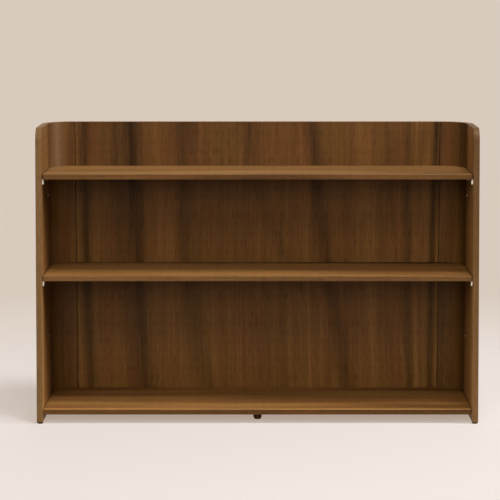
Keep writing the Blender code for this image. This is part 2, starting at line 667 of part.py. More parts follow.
for hand_name, hand_side in SIDES.items():
    side_panel(f"{hand_name}_side_panel", hand_side)
    corner_panel(f"{hand_name}_corner_panel", hand_side)
back_panel()
bottom_shelf()
for shelf_name, shelf_level in LOOSE_SHELVES.items():
    shelf_board(f"{shelf_name}_shelf", shelf_level, LOOSE_GAP)
splines()
lock_screws()
bottom_shelf_fixings()
back_screws()
shelf_pins()
glides()
centre_foot()
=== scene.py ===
"""Looks of a low walnut bookcase: boards, fittings, finishes, studio light and camera."""
from math import atan2, cos, pi, radians, sin

import bmesh
import bpy
from mathutils import Matrix, Vector


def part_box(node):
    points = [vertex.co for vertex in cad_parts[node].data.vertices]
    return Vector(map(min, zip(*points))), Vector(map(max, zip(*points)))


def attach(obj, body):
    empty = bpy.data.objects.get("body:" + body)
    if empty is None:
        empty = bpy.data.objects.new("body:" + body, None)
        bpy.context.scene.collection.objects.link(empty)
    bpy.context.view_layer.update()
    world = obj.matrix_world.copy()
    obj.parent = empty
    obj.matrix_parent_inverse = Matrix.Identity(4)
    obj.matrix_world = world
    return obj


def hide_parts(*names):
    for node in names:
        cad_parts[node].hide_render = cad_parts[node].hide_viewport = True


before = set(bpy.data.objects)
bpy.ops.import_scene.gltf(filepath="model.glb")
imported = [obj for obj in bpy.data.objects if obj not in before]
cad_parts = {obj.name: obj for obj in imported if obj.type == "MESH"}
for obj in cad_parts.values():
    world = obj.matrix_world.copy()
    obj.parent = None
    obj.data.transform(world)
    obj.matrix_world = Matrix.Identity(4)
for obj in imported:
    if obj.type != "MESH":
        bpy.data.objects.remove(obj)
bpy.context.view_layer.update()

# Names of the frame's nodes
SIDES = {"left": -1, "right": 1}
ENDS = ("front", "rear")
LEVELS = ("lower", "upper")
SHELVES = ("bottom_shelf", "middle_shelf", "top_shelf")
UPRIGHTS = (*(f"{hand}_{kind}_panel" for kind in ("side", "corner") for hand in SIDES), "back_panel")
PINS = [f"{shelf}_pin_{hand}_{end}" for shelf in SHELVES[1:] for hand in SIDES for end in ENDS]
SIDE_LOCKS = [f"{hand}_side_lock_screw_{level}" for hand in SIDES for level in LEVELS]
BACK_LOCKS = [f"{hand}_back_lock_screw_{level}" for hand in SIDES for level in LEVELS]
BACK_SCREWS = [f"back_screw_{place}" for place in ("left", "centre", "right")]
CAMS = [f"cam_{hand}_{end}" for hand in SIDES for end in ENDS]
CAM_BOLTS = [f"cam_bolt_{hand}_{end}" for hand in SIDES for end in ENDS]
DOWELS = [f"dowel_{hand}_{end}" for hand in SIDES for end in ENDS]
GLIDES = [f"{hand}_{place}_glide" for hand in SIDES for place in ("front", "corner")]
SPLINES = [f"{hand}_{seam}_spline" for hand in SIDES for seam in ("side", "back")]

# Sizes read from the frame
SIDE_LOW, SIDE_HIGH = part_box("right_side_panel")
CORNER_LOW, CORNER_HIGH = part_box("right_corner_panel")
BACK_LOW, BACK_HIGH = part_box("back_panel")
SHELF_BOX = {name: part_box(name) for name in SHELVES}
PANEL = SIDE_HIGH.x - SIDE_LOW.x
PANEL_FOOT = SIDE_LOW.z
HEIGHT = SIDE_HIGH.z
SIDE_INSIDE = SIDE_LOW.x
SIDE_MIDDLE = (SIDE_LOW.x + SIDE_HIGH.x) / 2
BACK = BACK_HIGH.y
BACK_INSIDE = BACK_LOW.y
SEAM_X = CORNER_LOW.x
SEAM_Y = CORNER_LOW.y
CORNER_RADIUS = CORNER_HIGH.x - SEAM_X - PANEL
TOE_SPACE = SHELF_BOX["bottom_shelf"][0].z

# Sizes of the boards
SHELF_SETBACK = 0.003       # shelf fronts behind the sides' front edges
BROW_RADIUS = 0.035         # top front corner of a side
PANEL_ARRIS = 0.0010        # eased edges
SHELF_ARRIS = 0.0020
ARRIS_STEPS = 4
ARRIS_ANGLE = 30            # degrees past which an edge is eased
ROUND_STEPS = 40            # for a quarter turn
CREASE_ANGLE = 35           # degrees past which shading keeps a corner crisp
FIT = 0.0003                # gap round a fitting in its hole
OVERCUT = 0.002             # how far a cutter runs out of its face
MERGE_DISTANCE = 1e-6
BOARD_MERGE_DISTANCE = 1e-5

# Sizes of the fittings
PIN_HEAD_THICKNESS = 0.004
PIN_HEAD_ARRIS = 0.0012
PIN_PEG_RADIUS = 0.0025
PIN_PEG_DROP = 0.005        # top of a pin's head to the axis of its peg
PIN_PEG_CHAMFER = 0.0006
PIN_HOLE_PITCH = 0.032
LOCK_HEAD_HEIGHT = 0.0028
LOCK_SHANK_RADIUS = 0.0020
BACK_SCREW_HEAD_HEIGHT = 0.0030
BACK_SCREW_SHANK_RADIUS = 0.0025
CROSS_WIDTH = 0.0010        # cross recess in a screw's head
CROSS_DEPTH = 0.0014
CROSS_REACH = 1.2           # its length, as a share of the head's radius
CAM_SLOT_WIDTH = 0.0016
CAM_SLOT_LENGTH = 0.0090
CAM_SLOT_DEPTH = 0.0018
CAM_RIM = 0.0009
BOLT_RADIUS = 0.0030
BOLT_HEAD_RADIUS = 0.0033
BOLT_HEAD_LENGTH = 0.0030
DOWEL_RADIUS = 0.0040
NAIL_RADIUS = 0.00125
GLIDE_ROUND = 0.0008
STUD_RADIUS = 0.0040
THREAD_PITCH = 0.00125
THREAD_DEPTH = 0.00055
THREAD_STEPS = 36
THREAD_RINGS = 12           # for each turn of the thread
THREAD_CREASE_ANGLE = 60
FOOT_TOP_ROUND = 0.0006
FOOT_LOWER_ROUND = 0.0025
FOOT_STEPS = 64
PAD_STUB_RADIUS = 0.0030
PAD_HEIGHT = 0.0025
PAD_ROUND = 0.0006
TURN_STEPS = 48
HOLE_STEPS = 24
DOME_STEPS = 9

# Screws driven from behind: their nodes, height of the head and radius of the shank
REAR_SCREW_SETS = {
    "back_lock_screw_set": (BACK_LOCKS, LOCK_HEAD_HEIGHT, LOCK_SHANK_RADIUS),
    "back_screw_set": (BACK_SCREWS, BACK_SCREW_HEAD_HEIGHT, BACK_SCREW_SHANK_RADIUS),
}


def front_at(z):
    """Y of the sides' leaning front edge at a height, from the shelves' fronts."""
    foot, top = (SHELF_BOX[name] for name in ("bottom_shelf", "top_shelf"))
    lean = (top[0].y - foot[0].y) / (top[1].z - foot[1].z)
    return foot[0].y - SHELF_SETBACK + (z - foot[1].z) * lean


# Where the outer faces, edges, shelf tops and undersides lie across the veneer, in metres
OUTER_VENEER = 5.0
EDGE_VENEER = 10.0
SHELF_VENEER = 20.0
UNDER_VENEER = 25.0
SHEETS = {name: float(number) for number, name in enumerate(SHELVES)}
CORNER_RUN = (CORNER_RADIUS + PANEL / 2) * pi / 2

# Share of its normal by which a face turns before it counts as part of an edge or of a joint
EDGE_TURN = 0.6
SIDE_JOINT_TURN = 0.5
BACK_JOINT_TURN = 0.2

# How much lighter or darker than the mean each board's faces, outer faces, edges and joints are; the corner
# panels' darker faces are painted shade, for the shade in the rear corners
TONES = {
    "face": {"left_corner_panel": -0.25, "right_corner_panel": -0.29, "left_side_panel": -0.05,
             "right_side_panel": 0.13, "back_panel": -0.165, "bottom_shelf": 0.15, "middle_shelf": 0.20,
             "top_shelf": 0.13},
    "outer": dict.fromkeys(UPRIGHTS, -0.06),
    "edge": {"left_side_panel": -0.06, "right_side_panel": -0.08, "bottom_shelf": -0.20,
             "middle_shelf": -0.05, "top_shelf": -0.12},
    "joint": dict.fromkeys(UPRIGHTS, -0.42),
}

# Colour that edge banding and some faces lack
DULL = {
    "edge": {"left_side_panel": 0.08, "right_side_panel": 0.07, "middle_shelf": 0.05, "top_shelf": 0.02},
    "face": {"top_shelf": 0.03},
}
DULL_HUE = 0.10             # how much that turns them to olive
EDGE_FIGURE = 0.3           # share of the slow figure that edge banding has

# Bands of the back, in metres from the middle: place at the top, place at the floor, bow between them,
# half width, tone at the top and tone at the floor. The first, as wide as the back, is painted shade
# that darkens it towards the top; the others are dark and light bands of its veneer
BACK_BANDS = (
    (0.0, 0.0, 0.0, 1.200, -0.06, 0.01),
    (-0.250, -0.250, 0.0, 0.400, -0.05, -0.03),
    (-0.493, -0.478, 0.0, 0.026, -0.18, -0.18),
    (-0.412, -0.350, 0.0, 0.034, -0.11, -0.07),
    (-0.367, -0.313, 0.0, 0.036, -0.22, -0.17),
    (-0.285, -0.220, 0.0, 0.062, 0.05, 0.09),
    (-0.205, -0.130, -0.03, 0.042, -0.08, -0.08),
    (-0.020, 0.440, -0.116, 0.034, -0.10, 0.02),
    (0.075, 0.075, 0.0, 0.020, 0.02, -0.10),
    (0.150, 0.150, 0.0, 0.012, -0.02, 0.09),
    (0.152, 0.262, 0.0, 0.036, -0.14, -0.13),
    (0.306, 0.345, 0.0, 0.042, 0.09, 0.05),
    (0.366, 0.450, 0.0, 0.012, -0.06, -0.04),
    (0.424, 0.447, 0.0, 0.017, -0.11, -0.11),
    (0.452, 0.466, 0.0, 0.012, 0.05, 0.12),
    (0.508, 0.507, 0.0, 0.016, -0.24, -0.24),
)

# Bands of the sides, as those of the back: along each front, painted light that grows towards the floor,
# for the strip inside each side that the lamps light; along each seam, painted shade for the dark
# inner corner; and on the right side's front edge, dark towards the top
SIDE_SEAM = SEAM_X + CORNER_RUN
FRONT_TOP, FRONT_FOOT = (SIDE_SEAM + SEAM_Y - front_at(z) for z in (HEIGHT, 0.0))
RIGHT_EDGE = EDGE_VENEER + SIDE_MIDDLE
SIDE_BANDS = (
    (-FRONT_TOP, -FRONT_FOOT, 0.0, 0.075, -0.04, 0.46),
    (-SIDE_SEAM, -SIDE_SEAM, 0.0, 0.105, -0.05, -0.09),
    (FRONT_TOP, FRONT_FOOT, 0.0, 0.075, -0.22, 0.52),
    (SIDE_SEAM, SIDE_SEAM, 0.0, 0.105, -0.09, -0.09),
    (RIGHT_EDGE, RIGHT_EDGE, 0.0, 0.060, -0.17, 0.02),
)

# Bands of the shelves, which run from left to right: their floor is the middle of a shelf, and
# their top is as far to the right of it as the bookcase is high. They paint shade on the rear and
# the rear ends of the bottom and middle shelves, darken the upper shelves' edges, and paint a
# highlight on the bottom shelf's front
MIDDLE_SHEET = SHELF_VENEER + SHEETS["middle_shelf"]
MIDDLE_EDGE, TOP_EDGE = (EDGE_VENEER + SHEETS[name] + SHELF_BOX[name][0].z for name in SHELVES[1:])
SHELF_BANDS = (
    # painted shade: a dark line along the middle shelf's rear, where it meets the back
    (MIDDLE_SHEET + 0.142, MIDDLE_SHEET + 0.142, 0.0, 0.050, -0.60, -0.60),
    # painted shade on the bottom shelf's rear
    (SHELF_VENEER + 0.130, SHELF_VENEER + 0.130, 0.0, 0.200, -0.22, -0.22),
    # painted highlight along the bottom shelf's front
    (SHELF_VENEER - 0.155, SHELF_VENEER - 0.155, 0.0, 0.034, 0.46, 0.40),
    (MIDDLE_EDGE, MIDDLE_EDGE, 0.0, 0.200, -0.05, -0.02),
    (TOP_EDGE + 0.540, TOP_EDGE, 0.0, 0.250, -0.18, -0.18),
    # painted shade on the rear ends of the bottom and middle shelves
    *((sheet + 0.350 + slope, sheet + 0.350, 0.0, 0.120, -0.18, -0.18)
      for sheet in (SHELF_VENEER, MIDDLE_SHEET)
      for slope in (-0.310, 0.310)),
)

# Noise along the grain: cycles per metre across and along it, detail and shift across
SLOW_DRIFT = (2.4, 1.1, 1.0, 3.1)
QUICK_DRIFT = (11.0, 3.2, 1.0, 7.7)
WIDE_FIGURE = (13.0, 0.8, 2.0, 11.3)
NARROW_FIGURE = (46.0, 1.5, 2.0, 1.9)
STREAKS = (190.0, 3.5, 2.0, 5.3)
FINE_LINES = (640.0, 9.0, 1.0, 8.8)
PORES = (1500.0, 38.0, 0.0, 2.2)
HUE_CHANGE = (21.0, 1.3, 1.0, 17.0)
GLOSS_CHANGE = (260.0, 6.0, 1.0, 4.4)
SHIFT_ALONG = 0.37          # shift along the grain for one across
STREAK_ROUGHNESS = 0.55
SLOW_SWAY, QUICK_SWAY = 0.030, 0.009

# Walnut's colours from dark to light, and how far each thing changes the tone or the gloss
WALNUT_STOPS = (
    (0.0, (0.018, 0.0072, 0.0018)),
    (0.30, (0.100, 0.0408, 0.0095)),
    (0.50, (0.180, 0.079, 0.0215)),
    (0.68, (0.246, 0.115, 0.0345)),
    (1.0, (0.360, 0.178, 0.0570)),
)
MEAN_TONE = 0.5
STREAK_TONE = 0.16
PORE_TONE = -0.16
PORE_START, PORE_FULL = 0.10, 0.26
HUE_SPREAD = 0.2
HUE_LOW, HUE_HIGH = 0.497, 0.507
VENEER_ROUGHNESS = 0.46
GLOSS_ROUGHNESS = 0.18
PORE_ROUGHNESS = 0.12
VENEER_SHEEN = 0.22

# Other finishes
RAW_ROUGHNESS = 0.75
MOULDED_SHEEN = 0.10
MOULDED_CLOUDS = 90.0       # cycles per metre
CLOUD_LOW, CLOUD_HIGH = 0.3, 0.7

# Strength and depth of each finish's surface
VENEER_SURFACE = (0.25, 0.0002)
RAW_SURFACE = (0.3, 0.0002)
METAL_SURFACE = (0.15, 0.0001)
MOULDED_SURFACE = (0.25, 0.0001)

GEOMETRY = "NodeSocketGeometry"
FLOAT = "NodeSocketFloat"
INT = "NodeSocketInt"
OBJECT = "NodeSocketObject"
MATERIAL = "NodeSocketMaterial"


# Small tools for nodes
def wire(tree, made, inputs):
    """Fill or link a node's inputs."""
    for key, value in inputs.items():
        if isinstance(value, bpy.types.NodeSocket):
            tree.links.new(value, made.inputs[key])
        else:
            made.inputs[key].default_value = value


def node(tree, kind, inputs=None, **settings):
    """New node with its options set and its inputs filled or linked."""
    made = tree.nodes.new(kind)
    for name, value in settings.items():
        setattr(made, name, value)
    wire(tree, made, inputs or {})
    return made


def step(tree, kind, inputs=None, **settings):
    """First result of a new node."""
    return node(tree, kind, inputs, **settings).outputs[0]


def calc(tree, operation, *values):
    """Result of one math node."""
    return step(tree, "ShaderNodeMath", dict(enumerate(values)), operation=operation)


def vector_calc(tree, operation, *values):
    """Result of one vector math node."""
    return step(tree, "ShaderNodeVectorMath", dict(enumerate(values)), operation=operation)


def remap(tree, value, start, end, low=0.0, high=1.0, **settings):
    """Value that goes from low to high between a start and an end."""
    return step(tree, "ShaderNodeMapRange",
                {"Value": value, "From Min": start, "From Max": end, "To Min": low, "To Max": high},
                **settings)


# Small tools for meshes and places
def side_of(x):
    return 1 if x > 0 else -1


def size_of(name):
    low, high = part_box(name)
    return high - low


def middle_of(name, **given):
    """Middle of a node's box, with the given coordinates in place of its own."""
    low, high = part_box(name)
    point = (low + high) / 2
    for axis, value in given.items():
        setattr(point, axis, value)
    return point


def show(piece):
    bpy.context.scene.collection.objects.link(piece)
    return piece


def bake(piece):
    """Plain mesh of an object with its modifiers applied; the object goes."""
    bpy.context.view_layer.update()
    graph = bpy.context.evaluated_depsgraph_get()
    mesh = bpy.data.meshes.new_from_object(piece.evaluated_get(graph))
    bpy.data.objects.remove(piece)
    return mesh


def mesh_from(form, name):
    mesh = bpy.data.meshes.new(name)
    form.to_mesh(mesh)
    form.free()
    return mesh


def close_up(form):
    """Merge doubled points and turn the faces outwards."""
    bmesh.ops.remove_doubles(form, verts=form.verts, dist=MERGE_DISTANCE)
    bmesh.ops.recalc_face_normals(form, faces=form.faces)


def point_mesh(points, edges=()):
    mesh = bpy.data.meshes.new("points")
    mesh.from_pydata(points, edges, [])
    return mesh


def mark(mesh, name, values, kind="FLOAT", domain="POINT"):
    """Write a number or a vector to each point or face of a mesh."""
    layer = mesh.attributes.new(name, kind, domain)
    if kind == "FLOAT_VECTOR":
        layer.data.foreach_set("vector", [part for value in values for part in value])
    else:
        layer.data.foreach_set("value", values)


def blocks(*boxes):
    """Mesh of upright boxes, each given as (low corner, high corner)."""
    form = bmesh.new()
    for low, high in boxes:
        low, high = Vector(low), Vector(high)
        place = Matrix.Translation((low + high) / 2) @ Matrix.Diagonal((*(high - low), 1.0))
        bmesh.ops.create_cube(form, size=1.0, matrix=place)
    return mesh_from(form, "blocks")


def carve(mesh, operation, *tools, arris=0.0, material_mode="INDEX"):
    """Mesh with its edges eased, and then with others cut out of it or joined to it."""
    piece = show(bpy.data.objects.new(mesh.name, mesh))
    if arris:
        edges = piece.modifiers.new("eased_edges", "BEVEL")
        edges.width = arris
        edges.segments = ARRIS_STEPS
        edges.limit_method = "ANGLE"
        edges.angle_limit = radians(ARRIS_ANGLE)
    helpers = [show(bpy.data.objects.new(tool.name, tool)) for tool in tools]
    for helper in helpers:
        cut = piece.modifiers.new("cut", "BOOLEAN")
        cut.operation = operation
        cut.solver = "EXACT"
        cut.material_mode = material_mode
        cut.object = helper
    carved = bake(piece)
    for helper in helpers:
        bpy.data.objects.remove(helper)
    return carved


def smooth(mesh, angle=CREASE_ANGLE):
    """Smooth shading with crisp corners, flat faces kept flat."""
    mesh.shade_smooth()
    mesh.set_sharp_from_angle(angle=radians(angle))
    piece = show(bpy.data.objects.new(mesh.name, mesh))
    level = piece.modifiers.new("flat_faces", "WEIGHTED_NORMAL")
    level.keep_sharp = True
    return bake(piece)


def add_piece(name, mesh, body, slot, *nodes):
    """Finished piece that rides on a body and stands for frame nodes."""
    mesh.name = name
    piece = show(bpy.data.objects.new(name, mesh))
    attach(piece, body)
    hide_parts(*nodes)


# Finishes
def new_material(name):
    material = bpy.data.materials.new(name)
    material.use_nodes = True
    return material, material.node_tree, material.node_tree.nodes["Principled BSDF"]


def object_place(tree):
    return node(tree, "ShaderNodeTexCoord").outputs["Object"]


def face_value(tree, name):
    """Value that each face of the mesh carries."""
    return node(tree, "ShaderNodeAttribute", attribute_name=name).outputs["Fac"]


def cloud(tree, place, scale, detail):
    return node(tree, "ShaderNodeTexNoise",
                {"Vector": place, "Scale": scale, "Detail": detail}).outputs["Fac"]


def bump(tree, height, strength, depth):
    return step(tree, "ShaderNodeBump", {"Strength": strength, "Distance": depth, "Height": height})


def ramp(tree, value, stops):
    """Colour on a row of stops, each (place, colour)."""
    colours = node(tree, "ShaderNodeValToRGB", {"Fac": value})
    row = colours.color_ramp.elements
    while len(row) < len(stops):
        row.new(0.5)
    for element, (place, colour) in zip(row, stops):
        element.position = place
        element.color = (*colour, 1.0)
    return colours.outputs[0]


def two_tone(tree, value, dark, pale):
    return ramp(tree, value, ((CLOUD_LOW, dark), (CLOUD_HIGH, pale)))


def streaks(tree, veneer, across, along, detail, shift):
    """Noise drawn out along the grain: cycles per metre across and along it."""
    drawn = vector_calc(tree, "MULTIPLY_ADD", veneer, (across, along, 0.0),
                        (shift, SHIFT_ALONG * shift, 0.0))
    noise = node(tree, "ShaderNodeTexNoise",
                 {"Vector": drawn, "Scale": 1.0, "Detail": detail, "Roughness": STREAK_ROUGHNESS},
                 noise_dimensions="2D")
    return calc(tree, "SUBTRACT", noise.outputs["Fac"], 0.5)


def wander(tree, veneer):
    """Veneer coordinates with a slow sideways drift, as growth rings have."""
    slow = calc(tree, "MULTIPLY", streaks(tree, veneer, *SLOW_DRIFT), SLOW_SWAY)
    quick = calc(tree, "MULTIPLY", streaks(tree, veneer, *QUICK_DRIFT), QUICK_SWAY)
    drift = step(tree, "ShaderNodeCombineXYZ", {"X": calc(tree, "ADD", slow, quick)})
    return vector_calc(tree, "ADD", veneer, drift)


def band_tone(tree, veneer, bands):
    """Sum of soft bands that run from a place at the top to a place at the floor."""
    split = node(tree, "ShaderNodeSeparateXYZ", {0: veneer}).outputs
    rise = calc(tree, "DIVIDE", split["Y"], HEIGHT)
    arch = calc(tree, "MULTIPLY", rise, calc(tree, "SUBTRACT", 4.0, calc(tree, "MULTIPLY", rise, 4.0)))
    total = 0.0
    for top, foot, bow, half_width, tone_top, tone_foot in bands:
        line = calc(tree, "MULTIPLY_ADD", rise, top - foot, foot)
        line = calc(tree, "MULTIPLY_ADD", arch, bow, line)
        away = calc(tree, "ABSOLUTE", calc(tree, "SUBTRACT", split["X"], line))
        near = remap(tree, away, 0.0, half_width, 1.0, 0.0, interpolation_type="SMOOTHSTEP")
        tone = calc(tree, "MULTIPLY_ADD", rise, tone_top - tone_foot, tone_foot)
        total = calc(tree, "MULTIPLY_ADD", near, tone, total)
    return total


def walnut(name, bands, wide, narrow):
    """Satin walnut veneer: bands, some of them painted light and shade, wide and narrow figure, streaks,
    fine lines and open pores.
    """
    material, tree, shader = new_material(name)
    bent = wander(tree, step(tree, "ShaderNodeUVMap", uv_map="veneer"))
    figure = face_value(tree, "figure")
    fine = streaks(tree, bent, *FINE_LINES)
    tone = calc(tree, "ADD", face_value(tree, "tone"), MEAN_TONE)
    for pattern, weight in ((WIDE_FIGURE, wide), (NARROW_FIGURE, narrow)):
        drawn = calc(tree, "MULTIPLY", streaks(tree, bent, *pattern), figure)
        tone = calc(tree, "MULTIPLY_ADD", drawn, weight, tone)
    for drawn in (streaks(tree, bent, *STREAKS), fine):
        tone = calc(tree, "MULTIPLY_ADD", drawn, STREAK_TONE, tone)
    tone = calc(tree, "ADD", tone, band_tone(tree, bent, bands))
    pores = remap(tree, streaks(tree, bent, *PORES), PORE_START, PORE_FULL)
    tone = calc(tree, "MULTIPLY_ADD", pores, PORE_TONE, tone)
    hue = remap(tree, streaks(tree, bent, *HUE_CHANGE), -HUE_SPREAD, HUE_SPREAD, HUE_LOW, HUE_HIGH)
    dull = face_value(tree, "dull")
    colour = step(tree, "ShaderNodeHueSaturation",
                  {"Hue": calc(tree, "MULTIPLY_ADD", dull, DULL_HUE, hue),
                   "Saturation": calc(tree, "SUBTRACT", 1.0, dull),
                   "Color": ramp(tree, tone, WALNUT_STOPS)})
    change = streaks(tree, bent, *GLOSS_CHANGE)
    gloss = calc(tree, "MULTIPLY_ADD", change, GLOSS_ROUGHNESS, VENEER_ROUGHNESS)
    gloss = calc(tree, "MULTIPLY_ADD", pores, PORE_ROUGHNESS, gloss)
    height = calc(tree, "MULTIPLY_ADD", pores, -1.0, fine)
    wire(tree, shader, {"Base Color": colour, "Roughness": gloss, "Specular IOR Level": VENEER_SHEEN,
                        "Normal": bump(tree, height, *VENEER_SURFACE)})
    return material


def raw_wood(name, dark, pale, stretch):
    """Unfinished wood: speckle and streaks drawn out along one axis."""
    material, tree, shader = new_material(name)
    drawn = step(tree, "ShaderNodeMapping", {"Vector": object_place(tree), "Scale": stretch})
    speckle = cloud(tree, drawn, 1.0, 4.0)
    wire(tree, shader, {"Base Color": two_tone(tree, speckle, dark, pale), "Roughness": RAW_ROUGHNESS,
                        "Normal": bump(tree, speckle, *RAW_SURFACE)})
    return material


def metal(name, colour, roughness, spread, scale, bare=1.0):
    """Plated or cast metal with a cloudy gloss; a less bare one is partly plain colour."""
    material, tree, shader = new_material(name)
    clouds = cloud(tree, object_place(tree), scale, 3.0)
    gloss = remap(tree, clouds, CLOUD_LOW, CLOUD_HIGH, roughness - spread, roughness + spread)
    wire(tree, shader, {"Base Color": (*colour, 1.0), "Metallic": bare, "Roughness": gloss,
                        "Normal": bump(tree, clouds, *METAL_SURFACE)})
    return material


def moulded(name, dark, pale, roughness, grain):
    """Moulded plastic or rubber with a fine surface grain."""
    material, tree, shader = new_material(name)
    place = object_place(tree)
    clouds = cloud(tree, place, MOULDED_CLOUDS, 2.0)
    fine = cloud(tree, place, grain, 2.0)
    wire(tree, shader, {"Base Color": two_tone(tree, clouds, dark, pale), "Roughness": roughness,
                        "Specular IOR Level": MOULDED_SHEEN,
                        "Normal": bump(tree, fine, *MOULDED_SURFACE)})
    return material


BACK_WALNUT = walnut("walnut_back", BACK_BANDS, wide=0.12, narrow=0.13)
UPRIGHT_WALNUT = walnut("walnut_upright", SIDE_BANDS, wide=0.30, narrow=0.20)
SHELF_WALNUT = walnut("walnut_shelf", SHELF_BANDS, wide=0.75, narrow=0.40)
BOARD_CORE = raw_wood("board_core", (0.16, 0.095, 0.045), (0.34, 0.23, 0.13), (900.0, 900.0, 900.0))
# Painted shade: the loose tongues are coloured dark, for the shade in the seams where they show
SHADED_PLYWOOD = raw_wood("birch_plywood", (0.050, 0.028, 0.014), (0.090, 0.054, 0.029), (400.0, 400.0, 12.0))
BEECH = raw_wood("beech", (0.44, 0.28, 0.15), (0.62, 0.43, 0.25), (25.0, 700.0, 700.0))
NICKEL = metal("nickel", (0.80, 0.77, 0.72), 0.30, 0.06, 400.0)
SATIN_NICKEL = metal("satin_nickel", (0.88, 0.82, 0.72), 0.45, 0.06, 400.0, bare=0.25)
# Painted shade: a dark copy of nickel for the lock screws, which sit in shade inside the sides
SHADED_NICKEL = metal("dull_nickel", (0.24, 0.205, 0.165), 0.45, 0.06, 400.0, bare=0.4)
ZINC = metal("zinc", (0.60, 0.60, 0.61), 0.42, 0.10, 700.0)
GLIDE_PLASTIC = moulded("glide_plastic", (0.016, 0.009, 0.006), (0.028, 0.016, 0.010), 0.75, 3500.0)
FOOT_PLASTIC = moulded("foot_plastic", (0.090, 0.031, 0.011), (0.125, 0.046, 0.016), 0.75, 3000.0)
RUBBER = moulded("rubber", (0.016, 0.014, 0.013), (0.027, 0.025, 0.024), 0.8, 2500.0)


# Node trees for the boards, their holes and the fittings
def new_tree(name, sockets):
    tree = bpy.data.node_groups.new(name, "GeometryNodeTree")
    for label, kind in sockets.items():
        tree.interface.new_socket(label, in_out="INPUT", socket_type=kind)
    tree.interface.new_socket("Result", in_out="OUTPUT", socket_type=GEOMETRY)
    return tree, tree.nodes.new("NodeGroupInput").outputs


def close_tree(tree, geometry, finish):
    real = step(tree, "GeometryNodeRealizeInstances", {"Geometry": geometry})
    painted = step(tree, "GeometryNodeSetMaterial", {"Geometry": real, "Material": finish})
    tree.links.new(painted, tree.nodes.new("NodeGroupOutput").inputs[0])
    return tree


def attribute(tree, name, kind):
    """Value that each point of the input geometry carries."""
    return step(tree, "GeometryNodeInputNamedAttribute", {"Name": name}, data_type=kind)


def flat_board_tree():
    """Board cut from an outline, whose corners are rounded by the radius that each one carries."""
    tree, given = new_tree("flat_board", {"Outline": GEOMETRY, "Thickness": FLOAT, "Round steps": INT,
                                          "Finish": MATERIAL})
    path = step(tree, "GeometryNodeMeshToCurve", {"Mesh": given["Outline"]})
    rounded = step(tree, "GeometryNodeFilletCurve",
                   {"Curve": path, "Count": given["Round steps"],
                    "Radius": attribute(tree, "round", "FLOAT")}, mode="POLY")
    face = step(tree, "GeometryNodeFillCurve", {"Curve": rounded}, mode="NGONS")
    rise = step(tree, "ShaderNodeCombineXYZ", {"Z": given["Thickness"]})
    raised = step(tree, "GeometryNodeExtrudeMesh", {"Mesh": face, "Offset": rise, "Individual": False})
    under = step(tree, "GeometryNodeFlipFaces", {"Mesh": face})
    both = node(tree, "GeometryNodeJoinGeometry")
    for half in (raised, under):
        tree.links.new(half, both.inputs[0])
    closed = step(tree, "GeometryNodeMergeByDistance",
                  {"Geometry": both.outputs[0], "Distance": BOARD_MERGE_DISTANCE})
    return close_tree(tree, closed, given["Finish"])


def bent_board_tree():
    """Quarter-round board: an upright section swept along an arc."""
    tree, given = new_tree("bent_board", {"Middle radius": FLOAT, "Thickness": FLOAT, "Height": FLOAT,
                                          "Round steps": INT, "Finish": MATERIAL})
    path = step(tree, "GeometryNodeCurveArc",
                {"Resolution": given["Round steps"], "Radius": given["Middle radius"],
                 "Start Angle": 0.0, "Sweep Angle": pi / 2}, mode="RADIUS")
    section = step(tree, "GeometryNodeCurvePrimitiveQuadrilateral",
                   {"Width": given["Thickness"], "Height": given["Height"]}, mode="RECTANGLE")
    swept = step(tree, "GeometryNodeCurveToMesh",
                 {"Curve": path, "Profile Curve": section, "Fill Caps": True})
    return close_tree(tree, swept, given["Finish"])


def holes_tree():
    """Round cutters, each on a point that carries its direction, radius and length."""
    tree, given = new_tree("holes", {"Places": GEOMETRY, "Steps": INT, "Finish": MATERIAL})
    cutter = step(tree, "GeometryNodeMeshCylinder",
                  {"Vertices": given["Steps"], "Radius": 1.0, "Depth": 1.0})
    turn = step(tree, "FunctionNodeAlignRotationToVector",
                {"Vector": attribute(tree, "direction", "FLOAT_VECTOR")}, axis="Z")
    radius = attribute(tree, "radius", "FLOAT")
    size = step(tree, "ShaderNodeCombineXYZ",
                {"X": radius, "Y": radius, "Z": attribute(tree, "length", "FLOAT")})
    placed = step(tree, "GeometryNodeInstanceOnPoints",
                  {"Points": given["Places"], "Instance": cutter, "Rotation": turn, "Scale": size})
    return close_tree(tree, placed, given["Finish"])


def fittings_tree():
    """Copies of one fitting, each on a point that carries its turn."""
    tree, given = new_tree("fittings", {"Places": GEOMETRY, "Fitting": OBJECT, "Finish": MATERIAL})
    pattern = node(tree, "GeometryNodeObjectInfo", {"Object": given["Fitting"]}).outputs["Geometry"]
    turn = step(tree, "FunctionNodeEulerToRotation", {0: attribute(tree, "turn", "FLOAT_VECTOR")})
    placed = step(tree, "GeometryNodeInstanceOnPoints",
                  {"Points": given["Places"], "Instance": pattern, "Rotation": turn})
    return close_tree(tree, placed, given["Finish"])


